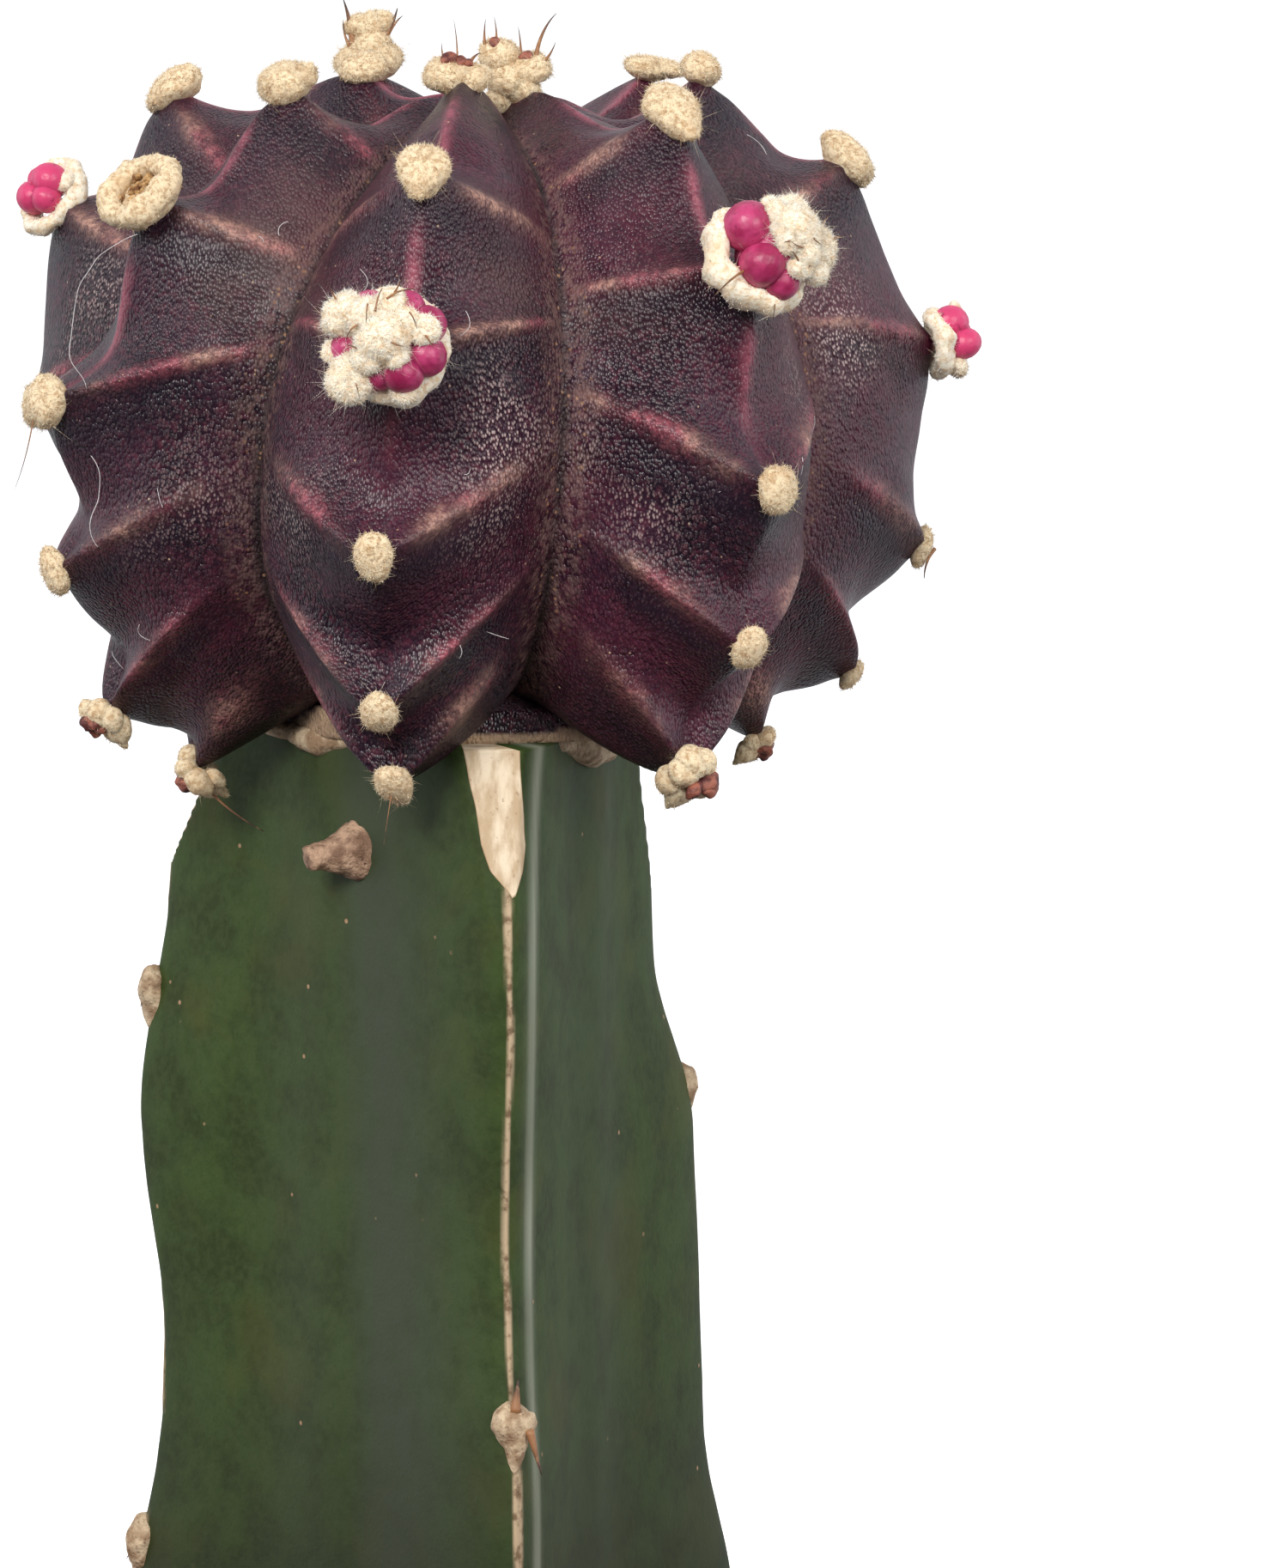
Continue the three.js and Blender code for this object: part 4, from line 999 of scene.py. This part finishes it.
# Each offset: its areole, how pink it is, its ring of old wool (radius and thickness), how it leans, its
# lobes and tufts in millimetres as (right, up, out, radius) as seen from outside, and its hairs by their
# two ends and a width.
OFFSETS = {
    "offset_front": dict(
        at=(RIB_FRONT, 2), pink=0.0, ring=(2.45, 0.6),
        lobes=((-0.9, 1.7, 1.1, 1.0), (0.9, 1.7, 1.2, 1.0), (1.95, 0.9, 1.1, 1.05), (2.0, -0.7, 1.2, 1.1),
               (0.9, -1.6, 1.4, 1.1), (-0.4, -1.6, 1.2, 0.95), (-2.0, -0.4, 1.1, 0.95), (0.1, 0.1, 0.9, 1.9)),
        tufts=((-2.1, 1.2, 1.7, 1.25), (-1.7, -1.9, 1.6, 1.2), (0.0, -0.1, 2.4, 1.45), (0.3, 1.9, 2.1, 0.75),
               (2.0, 0.4, 2.1, 0.8), (-0.9, 0.9, 2.3, 1.0), (-2.6, -0.5, 1.2, 0.7), (0.9, -2.5, 0.9, 0.7),
               (-0.6, -1.0, 2.3, 0.9), (1.1, 0.7, 2.3, 0.75), (0.7, -0.9, 2.4, 0.7)),
        hairs=(((-0.3, 1.2, 3.0), (0.0, 2.4, 2.9), 0.06), ((0.2, 1.9, 2.7), (1.6, 2.4, 2.6), 0.07),
               ((-0.7, 1.6, 2.9), (-0.6, 0.5, 3.6), 0.05), ((1.4, 1.2, 2.8), (1.9, 0.3, 3.2), 0.05),
               ((-1.3, -2.2, 2.3), (-1.1, -3.1, 1.9), 0.05))),
    "offset_right": dict(
        at=(RIB_RIGHT, 2), pink=0.1, ring=(2.3, 0.7),
        lobes=((-1.0, 1.3, 1.5, 1.35), (-0.85, -0.85, 1.5, 1.2), (0.7, 1.7, 1.3, 1.1), (0.2, -1.7, 1.3, 1.0),
               (2.1, 0.6, 1.2, 1.0), (0.5, 0.1, 1.0, 1.9)),
        tufts=((0.8, 0.5, 2.7, 1.5), (2.4, -0.2, 2.2, 1.15), (0.2, 0.7, 2.9, 0.6), (0.1, -0.2, 2.9, 0.85),
               (0.6, -1.4, 2.5, 0.75), (1.6, 1.8, 2.0, 0.95), (0.0, 1.4, 2.8, 0.7), (1.7, -1.4, 2.2, 0.85),
               (0.9, -0.7, 2.9, 0.85), (0.6, 2.2, 1.8, 0.6), (-0.1, 0.2, 2.9, 0.6)),
        hairs=(((-1.6, -0.9, 1.2), (-4.0, -2.2, 0.9), 0.09), ((-0.2, -2.3, 1.0), (-0.6, -3.6, 0.8), 0.06),
               ((1.5, 1.6, 2.6), (2.3, 1.0, 3.4), 0.05), ((2.6, 0.6, 2.6), (3.4, 1.2, 2.8), 0.05))),
    "offset_far_right": dict(
        at=(RIB_FAR_RIGHT, 2), pink=0.9, ring=(1.45, 0.5),
        lobes=((-0.3, 0.9, 1.0, 1.0), (-0.5, -0.3, 1.5, 0.9), (0.6, 0.3, 1.2, 0.9), (0.1, -0.7, 0.9, 0.8)),
        tufts=((0.0, 1.5, 1.4, 0.45), (-0.3, -1.4, 1.0, 0.65), (0.3, -1.5, 0.9, 0.6))),
    "offset_left": dict(
        at=(RIB_LEFT, 2), pink=0.9, ring=(1.75, 0.5), lean=(0, -0.9, 0.1),
        lobes=((0.4, 0.5, 1.1, 1.0), (-0.4, -0.5, 1.1, 0.95), (0.6, -0.5, 1.0, 0.8), (-0.6, 0.6, 0.9, 0.8)),
        tufts=((1.3, 0.7, 0.8, 0.5), (-1.4, 0.1, 0.8, 0.55))),
}


def make_offset(name, plan, seed):
    """A young head on an areole: a rosette of lobes between tufts of new wool, in a ring of wool."""
    rng = np.random.default_rng(seed)
    tip, outward = areole(*plan["at"])
    outward = unit(outward + np.array(plan.get("lean", (0, 0, 0))))
    right, up = basis(outward)
    lobes, felt, fibres, spines = Pile(), Pile(), Pile(), Pile()

    def place(x, y, out):
        return tip + right * x + up * y + outward * out

    for *spot, radius in plan["lobes"]:
        centre = place(*spot)
        placed = oriented(BALL[0] * [radius, radius * 0.95, radius * 1.05], centre, outward)
        placed = placed + (placed - centre) * (0.05 * noise(placed, 1.3, seed))[:, None]
        lobes.add(placed, [BALL[1]], plan["pink"])
    for *spot, radius in plan["tufts"]:
        centre = place(*spot)
        tuft(felt, fibres, centre, outward, radius, rng, 0.75, rng.uniform(0.92, 1.08),
             int(NEW_WOOL_FIBRES * radius ** 2))
        if radius > 0.7:
            turn = rng.uniform(0, 2 * math.pi)
            side = right * math.cos(turn) + up * math.sin(turn)
            spine(spines, centre + outward * 0.55 * radius + side * 0.4 * radius, outward * 0.5 + side,
                  rng.uniform(0.8, 1.4), 0.07, 0, rng.uniform(-1, 1))
    for start, end, width in plan.get("hairs", ()):
        a, b = place(*start), place(*end)
        add_spine(spines, bezier([a, (a + b) / 2 + up * 0.25 + outward * 0.3, b], 12), width, 6, 0.7)
    wool_ring(felt, fibres, tip, outward, *plan["ring"], rng)
    lobes.piece(name + "_lobes", "offset", "offset_skin", [name])
    felt.piece(name + "_wool", "wool")
    fibres.piece(name + "_fibres", "fibre")
    if spines.count:
        spines.piece(name + "_spines", "spine")


# Two long hairs on the left, in millimetres (right, up) from the ring areole, and how far they waver.
LEFT_HAIRS = (
    (((-0.6, -1.8), (-3.0, -2.2), (-4.2, -6.5), (-3.4, -10.0)), 0.5),
    (((-3.0, -13.2), (-1.6, -14.6), (-3.3, -17.0), (-2.6, -18.0)), 0.3),
)


def make_cobwebs():
    """Stray hairs: two at the back from one areole to the next, short ones all over, two at the left."""
    rng = np.random.default_rng(23)
    pile = Pile()
    for k, start, end in ((RIB_BACK_RIGHT, 1, 2), (RIB_BACK, 2, 3)):
        a, out_a = areole(k, start)
        b, out_b = areole(k, end)
        right, _ = basis(out_a)
        sway = right * rng.uniform(-2.5, 2.5)
        path = bezier([a + out_a * 0.8, a + out_a * 0.9 + sway,
                       b + out_b * 0.9 + sway * 0.6, b + out_b * 0.7], 26)
        path = path + 0.25 * wander(path, 1.6, (1, 2, 3))
        pile.add(*thread(path, 0.018, 4))
    for _ in range(SHORT_HAIRS):
        k, n = int(rng.integers(len(HEAD_RIBS))), int(rng.integers(1, 5))
        neighbour = HEAD_RIBS[(k + int(rng.choice([-1, 1]))) % len(HEAD_RIBS)]
        root, outward = head_point(HEAD_RIBS[k], HEAD_RIBS[k]["areoles"][n] + rng.uniform(-9, 9),
                                   rng.uniform(0.2, 0.8), neighbour)
        right, up = basis(outward)
        turn = rng.uniform(0, 2 * math.pi)
        run = (right * math.cos(turn) + up * math.sin(turn)) * rng.uniform(0.6, 1.8)
        curl = np.cross(outward, run) * rng.uniform(-0.9, 0.9)
        path = bezier([root, root + run * 0.4 + outward * 0.35 + curl, root + run + outward * 0.15], 10)
        pile.add(*thread(path, 0.02, 4))
    tip, _ = areole(*RING_AREOLE)
    for bends, wave in LEFT_HAIRS:
        path = bezier([tip + [x, -1.6, z] for x, z in bends], 40)
        pile.add(*thread(path + wave * wander(path, 1.7, (4, 5, 6)), 0.022, 4))
    pile.piece("cobwebs", "cobweb")


# Rootstock

def stem_radius(azimuth, z):
    """The rootstock's radius at heights below the graft, with its marks: cut, line, bloom and edge."""
    turns = np.stack([turn_to(rib["azimuth"], azimuth) for rib in STEM_RIBS])
    nearest = np.argmin(np.abs(turns), 0)
    turn = np.take_along_axis(turns, nearest[None], 0)[0]
    pick = {key: np.array([rib[key] for rib in STEM_RIBS], float)[nearest]
            for key in ("radius", "wave", "flare", "shoulder", "bevel_top", "bevel_slope", "bevel_turn")}
    first = np.array([rib["areoles"][0] for rib in STEM_RIBS], float)[nearest]
    phase = ((first - z) / STEM_AREOLE_PITCH) % 1
    wave = pick["wave"] * np.cos(2 * math.pi * (phase - STEM_WAVE_PHASE))
    buried = smoothstep(z, SOIL_TOP - GRAFT_Z + 2, SOIL_TOP - GRAFT_Z + 14)
    high, low = (smoothstep(z, level - STEM_SHOULDER_REACH, level + STEM_SHOULDER_REACH)
                 for level in (STEM_SHOULDER_Z, STEM_LOW_SHOULDER_Z))
    shoulder = pick["shoulder"] * (high - STEM_LOW_SHOULDER_SHARE * (1 - low))
    grown = pick["radius"] - pick["flare"] * z + wave - shoulder
    edge = lerp(STEM_BURIED_SCALE * pick["radius"], grown, buried)
    valley = lerp(STEM_BURIED_SCALE, 1, buried) * STEM_VALLEY_RADIUS
    full = math.hypot(STEM_HALF_SECTOR, STEM_EDGE_BLUNT) - STEM_EDGE_BLUNT
    eased = (np.hypot(turn, STEM_EDGE_BLUNT) - STEM_EDGE_BLUNT) / full
    section = valley + (edge - valley) * (1 - eased) ** STEM_FLANK_POWER
    aim = np.radians(pick["bevel_turn"])
    facing = np.cos(aim) / np.maximum(np.cos(np.radians(turn - pick["bevel_turn"])), 0.2)
    bevel = (pick["bevel_top"] - pick["bevel_slope"] * z) * facing
    arc = np.radians(turn) * edge
    along = np.stack([0 * z, 0 * z + nearest * 40.0, z], -1)
    lower = smoothstep(-z, 31, 40)
    middle = 0.1 * noise(along, 5.0, 3) + 0.45 * lower
    width = 0.12 + 0.08 * np.exp(-np.abs(z) / 14) + 0.14 * lower + 0.05 * noise(along, 3.0, 4)
    front = nearest == STEM_FRONT
    line = 1 - smoothstep(np.abs(arc - middle), width - 0.07, width + 0.07)
    line = line * np.where(front, 1.0, smoothstep(noise(along, 4.0, 6), 0.1, 0.5))
    left = np.interp(-z, *SCAR_LEFT) + 0.08 * noise(along, 1.5, 12)
    right = np.interp(-z, *SCAR_RIGHT) + 0.08 * noise(along, 1.5, 13)
    cut = np.clip(0.5 + np.where(front, np.minimum(arc - left, right - arc), section - bevel), 0, 1)
    whole = 1 - smoothstep(cut, 0.5, 0.55)
    # bloom: grey wax bloom away from the rib edges, and a painted sheen band that drifts as it runs down
    bloom = smoothstep(np.abs(turn), 18, 46) * 0.3
    bloom = np.maximum(bloom, bell(turn_to(STEM_SHEEN_AZIMUTH - STEM_SHEEN_DRIFT * z, azimuth), 20))
    # pale is a painted highlight: a sheen line just beside the front rib's edge, on a slight bead
    top = np.exp(-np.abs(z) / 4)
    pale = bell(arc - 1.58 - 1.2 * top - 0.4 * lower, 0.34 + 0.3 * top) * front
    radius = np.minimum(section, bevel) + (0.1 * line + 0.08 * pale) * whole
    return radius, cut, line * whole, bloom, pale * whole * (0.75 + 0.25 * noise(along, 5.0, 9))


def stem_reach(azimuth, z):
    """The rootstock's radius at one place."""
    return stem_radius(np.array([azimuth], float), np.array([z], float))[0][0]


def make_stem():
    """The stem's skin. Its columns lie closer together near the rib edges, and its rows near the graft."""
    half = 34
    spread = (np.arange(half + 1) / half) ** 1.6 * STEM_HALF_SECTOR
    turns = np.concatenate([-spread[:0:-1], spread[:-1]])
    azimuth = np.concatenate([rib["azimuth"] + turns for rib in STEM_RIBS])
    foot = STEM_FOOT_Z - GRAFT_Z
    z = np.concatenate([np.linspace(0, -12, 80, endpoint=False),
                        np.linspace(-12, SOIL_TOP - GRAFT_Z - 3, 130), [foot + 8, foot]])
    zz, aa = np.meshgrid(z, azimuth, indexing="ij")
    radius, *marks = stem_radius(aa, zz)
    rings = polar(radius, aa, zz)
    radius = radius + 0.1 * noise(rings, 6.0, 2) + 0.03 * noise(rings, 1.4, 3)
    radius[0] = stem_radius(aa[:1], zz[:1])[0][0]
    rings = polar(radius, aa, zz) + [0, 0, GRAFT_Z]
    attributes = {key: np.concatenate([[0], value.ravel(), [0]])
                  for key, value in zip(("cut", "line", "bloom", "edge"), marks)}
    lone_piece(skin_points(rings, [0, 0, GRAFT_Z], [0, 0, STEM_FOOT_Z]), skin_faces(len(z), len(azimuth)),
               "stem_skin", "stem", "stem_skin", ["rootstock"], attributes)


def make_stem_areoles():
    """Corky cushions along the rib edges, with stout spines on the front rib and a thin one elsewhere."""
    rng = np.random.default_rng(31)
    cork, spines = Pile(), Pile()
    for rib in STEM_RIBS:
        for z in rib["areoles"]:
            outward = polar(1.0, rib["azimuth"], 0.0)
            right, up = basis(outward)
            root = polar(stem_reach(rib["azimuth"], z), rib["azimuth"], GRAFT_Z + z) + right * 0.25
            shape = drawn_out(BALL_FINE[0], 0.62, 0.75) * [1.15, 1.4, 0.9]
            lump = oriented(shape, root - outward * 0.1, outward)
            lump = lump + (lump - root) * (0.14 * noise(lump, 0.8, 3) + 0.08 * noise(lump, 0.3, 4))[:, None]
            cork.add(lump, [BALL_FINE[1]])
            sway = rng.uniform(-0.5, 0.1)
            if rib is STEM_RIBS[STEM_FRONT]:
                down = 0.25 * right - up + 0.25 * outward
                spine(spines, root + right * 0.7 + outward * 0.6, down, 2.3, 0.27, 0.1, sway)
                spine(spines, root + up * 0.9 + outward * 0.3, up + 0.1 * right, 1.7, 0.32)
            else:
                down = 0.8 * right - 0.6 * up
                spine(spines, root + outward * 0.5 - right * 0.3, down, 1.3, 0.16, 0.1, sway)
    cork.piece("stem_areoles", "cork")
    spines.piece("stem_spines", "spine")


def make_root_stub():
    """The dried end of an aerial root in the valley to the left of the front rib."""
    root = polar(STEM_VALLEY_RADIUS + 0.1, -32.0, GRAFT_Z - 5.9)
    aim = unit([-0.85, -0.5, -0.05])
    path = bezier([root - aim * 0.9, root + aim * 0.9, root + aim * 2.7 - [0, 0, 0.15]], 24)
    points, faces = thread(path, 1.0, 28)
    along = (points - path[0]) @ aim / np.linalg.norm(path[-1] - path[0])
    spread = np.interp(along, [0, 0.25, 0.5, 0.75, 1], [1.6, 1.5, 1.1, 0.75, 0.6])
    core = path[0] + aim * ((points - path[0]) @ aim)[:, None]
    points = core + (points - core) * spread[:, None]
    points = points + (0.14 * wander(points, 0.9, (1, 2, 3)) + 0.1 * wander(points, 0.3, (4, 5, 6)))
    lone_piece(points, faces, "root_stub", "root")


def make_callus():
    """The ragged tan callus where the head has grown on to the cut rootstock."""
    azimuth = np.linspace(-180, 180, 240, endpoint=False)
    seam = stem_radius(azimuth, np.full(azimuth.shape, -0.2))[0]
    turn = np.linspace(0, 2 * math.pi, 14, endpoint=False)
    aa, tt = np.meshgrid(azimuth, turn, indexing="ij")
    reach = np.minimum(seam, HEAD_NECK_RADIUS)[:, None] + 0.5 * bell(turn_to(75, aa), 24)
    swell = 0.35 + 0.4 * bell(turn_to(-54, aa), 26) + 0.6 * bell(turn_to(62, aa), 26)
    drop = 1.1 * bell(turn_to(66, aa), 24) + 0.5 * bell(turn_to(-46, aa), 20) - 0.25
    body = polar(reach + swell * np.cos(tt), aa, swell * np.sin(tt) - drop)
    size = swell + 0.22 * noise(body, 1.8, 7) + 0.1 * noise(body, 0.6, 8)
    body = polar(reach + size * np.cos(tt) - 0.2, aa, size * np.sin(tt) - drop)
    lone_piece(body + [0, 0, GRAFT_Z], [loop_faces(*body.shape[:2])], "graft_callus", "cork")


# Pot and soil

def pot_inner(z):
    """The pot's radius inside, at a height."""
    share = np.clip((z - FLOOR) / (POT_HEIGHT - FLOOR), 0, 1)
    return float(lerp(FOOT_RADIUS - WALL, RIM_RADIUS - WALL - 0.8, share))


def make_pot():
    """A plain clay pot, turned from a profile with small rounded corners."""
    shoulder = POT_HEIGHT - RIM_HEIGHT
    # From the drain hole out to the foot ring, up the wall and over the rim, and down the inside
    corners = [
        (DRAIN_RADIUS, FOOT_RECESS), (FOOT_RADIUS - 5, FOOT_RECESS),
        (FOOT_RADIUS - 4, 0), (FOOT_RADIUS - 0.9, 0), (FOOT_RADIUS + 0.1, 0.9),
        (RIM_RADIUS - RIM_OVERHANG, shoulder - 0.6), (RIM_RADIUS - 1.1, shoulder),
        (RIM_RADIUS - 0.5, shoulder + 1), (RIM_RADIUS, POT_HEIGHT - 1.2), (RIM_RADIUS - 1, POT_HEIGHT),
        (pot_inner(POT_HEIGHT) + 1, POT_HEIGHT), (pot_inner(POT_HEIGHT - 1), POT_HEIGHT - 1),
        (pot_inner(FLOOR), FLOOR), (DRAIN_RADIUS, FLOOR),
    ]
    profile = []
    for start, end in zip(corners, corners[1:] + corners[:1]):
        a, b = np.array(start, float), np.array(end, float)
        length = np.linalg.norm(b - a)
        trim = min(0.35, length / 3) / length
        steps = max(2, int(length / 1.3))
        profile += [a + (b - a) * t for t in np.linspace(trim, 1 - trim, steps)]
    profile = np.array(profile)
    azimuth = np.linspace(0, 360, 168, endpoint=False)
    rr, aa = np.meshgrid(profile[:, 0], azimuth, indexing="ij")
    zz = np.broadcast_to(profile[:, 1:], rr.shape)
    surface = polar(rr, aa, zz)
    uneven = 0.12 * noise(surface * [1, 1, 0.5], 9.0, 12) + 0.05 * noise(surface, 2.0, 13)
    between = smoothstep(zz, 0.5, 2.5) * (1 - smoothstep(zz, POT_HEIGHT - 2, POT_HEIGHT - 0.5))
    surface = polar(rr - 0.12 + uneven * between, aa, zz)
    turned_over = loop_faces(*rr.shape)[:, [0, 3, 2, 1]]
    salt = np.maximum(1 - smoothstep(zz, 2, 20), smoothstep(zz, POT_HEIGHT - RIM_HEIGHT, POT_HEIGHT))
    lone_piece(surface, [turned_over], "clay_pot", "clay", "clay", ["pot"], {"salt": salt})


def make_soil():
    """Uneven ground that fills the pot, with loose grains on it outside the stem."""
    rng = np.random.default_rng(41)
    shares = np.linspace(0.04, 1, 46)
    azimuth = np.linspace(0, 360, 150, endpoint=False)
    ss, aa = np.meshgrid(shares, azimuth, indexing="ij")
    edge = pot_inner(SOIL_TOP) - 0.4
    ground = polar(ss * edge, aa, 0.0)
    height = SOIL_TOP - 0.4 + 0.8 * noise(ground, 4.5, 1) + 0.5 * noise(ground, 1.6, 2) - ss ** 8
    top = polar(ss * edge, aa, height)
    lower = polar(np.full(azimuth.shape, edge - 1.2), azimuth, SOIL_TOP - 8)
    foot = polar(np.full(azimuth.shape, pot_inner(FLOOR) - 0.6), azimuth, FLOOR)
    rings = np.concatenate([top, lower[None], foot[None]])
    pile = Pile()
    pile.add(skin_points(rings, [0, 0, SOIL_TOP], [0, 0, FLOOR]), skin_faces(len(rings), len(azimuth)), 0.2)
    grains = 0
    while grains < SOIL_GRAINS:
        r, a = edge * math.sqrt(rng.uniform(0.05, 0.97)), rng.uniform(-180, 180)
        if r < stem_reach(a, SOIL_TOP - GRAFT_Z) + 0.4:
            continue
        size = rng.uniform(0.35, 1.25) ** 1.2
        kind = rng.uniform(0, 1)
        points, faces = BALL_COARSE
        stretch = np.array([1.0, rng.uniform(0.5, 1.0), rng.uniform(0.4, 0.8)])
        shape = oriented(points * stretch * size, np.zeros(3), unit(rng.normal(0, 1, 3) + [0, 0, 0.01]))
        shape = shape * (1 + 0.35 * noise(points + rng.uniform(0, 50, 3), 0.7, 3))[:, None]
        rise = 0.8 * float(noise(polar(r, a, 0.0), 4.5, 1)) + 0.15 * size
        place = polar(r, a, SOIL_TOP - 0.2) + [0, 0, rise]
        pile.add(shape + place, [faces], kind)
        grains += 1
    pile.piece("potting_mix", "soil", "soil", ["soil"])


# Setting

def make_stage():
    """A pale floor that sweeps up all round."""
    reach, bend = 2.4, 0.6
    profile = [(0.02, 0.0), (0.2, 0.0), (0.5, 0.0), (1.0, 0.0), (reach - bend, 0.0)]
    profile += [(reach - bend + bend * math.sin(t), bend - bend * math.cos(t))
                for t in np.linspace(0.1, math.pi / 2, 12)]
    profile.append((reach, 3.0))
    around = 96
    turns = np.linspace(0, 2 * math.pi, around, endpoint=False)
    points = [(r * math.sin(a), -r * math.cos(a), z) for r, z in profile for a in turns]
    faces = []
    for k in range(len(profile) - 1):
        for c in range(around):
            here, across = k * around + c, k * around + (c + 1) % around
            faces.append((here, across, across + around, here + around))
    faces.append(tuple(range(around - 1, -1, -1)))
    mesh = bpy.data.meshes.new("sweep")
    mesh.from_pydata(points, [], faces)
    mesh.polygons.foreach_set("use_smooth", np.ones(len(faces), bool))
    paper = Finish("paper")
    mesh.materials.append(paper.done(
        Base_Color=(240, 240, 242), Roughness=0.9, Emission_Color=(1, 1, 1, 1), Emission_Strength=0.8))
    sweep = bpy.data.objects.new("sweep", mesh)
    sweep.visible_diffuse = sweep.visible_glossy = sweep.visible_shadow = False
    bpy.context.scene.collection.objects.link(sweep)


def area_light(name, place, target, size, power, colour):
    data = bpy.data.lights.new(name, "AREA")
    data.shape = "RECTANGLE"
    data.size, data.size_y = size
    data.energy = power
    data.color = colour
    lamp = bpy.data.objects.new(name, data)
    lamp.location = place
    aim = Vector(target) - Vector(place)
    lamp.rotation_mode = "QUATERNION"
    lamp.rotation_quaternion = aim.to_track_quat("-Z", "Y")
    bpy.context.scene.collection.objects.link(lamp)


def make_lights():
    """Two soft lights from the front, cool ones from the sides, and the studio round them."""
    target = (0, 0, 0.13)
    area_light("key", (-0.35, -0.75, 0.58), target, (0.4, 0.35), 7.8, (1, 0.98, 0.95))
    area_light("fill", (0.5, -0.75, 0.42), target, (0.45, 0.45), 4.8, (1, 0.98, 0.95))
    area_light("left", (-0.8, 0.1, 0.3), target, (0.5, 0.9), 2.3, (0.94, 0.96, 1))
    area_light("right", (0.8, 0.15, 0.3), target, (0.5, 0.9), 2.6, (0.92, 0.95, 1))
    make_world()


STUDIO_LEAST = 0.14


def make_world():
    """A white studio that is brightest behind the plant and overhead, and dim behind the camera."""
    world = bpy.data.worlds.new("studio")
    world.use_nodes = True
    n = Nodes(world.node_tree)
    place = n.node("ShaderNodeTexCoord", {}).outputs["Generated"]
    aim = n.node("ShaderNodeSeparateXYZ", {"Vector": place}).outputs
    strength = n.math("ADD", n.span(aim["Y"], -0.2, 0.8, 0.0, 0.55), STUDIO_LEAST)
    strength = n.math("ADD", n.span(aim["Z"], 0.1, 0.9, 0.0, 0.2), strength)
    background = n.tree.nodes["Background"]
    n.feed(background.inputs["Color"], (0.94, 0.96, 1.0, 1))
    n.feed(background.inputs["Strength"], strength)
    bpy.context.scene.world = world


def make_camera():
    """The photo's camera, which stands a little above the plant and looks at its head."""
    data = bpy.data.cameras.new("camera")
    data.sensor_fit = "AUTO"
    data.sensor_width = SENSOR
    data.lens = SENSOR * CAMERA_DISTANCE / FRAME_HEIGHT
    data.clip_start, data.clip_end = 0.01, 20
    camera = bpy.data.objects.new("camera", data)
    tilt = math.radians(CAMERA_ELEVATION)
    back = Vector((0, -math.cos(tilt), math.sin(tilt)))
    camera.location = (Vector(CAMERA_AIM) + back * CAMERA_DISTANCE) * MM
    camera.rotation_mode = "QUATERNION"
    camera.rotation_quaternion = (-back).to_track_quat("-Z", "Y")
    bpy.context.scene.collection.objects.link(camera)
    bpy.context.scene.camera = camera


make_head()
make_areoles()
make_crown()
for seed, (name, plan) in enumerate(OFFSETS.items()):
    make_offset(name, plan, 61 + seed)
make_cobwebs()
make_stem()
make_stem_areoles()
make_root_stub()
make_callus()
make_pot()
make_soil()
make_stage()
make_lights()
make_camera()
bpy.context.scene.view_settings.view_transform = "Standard"
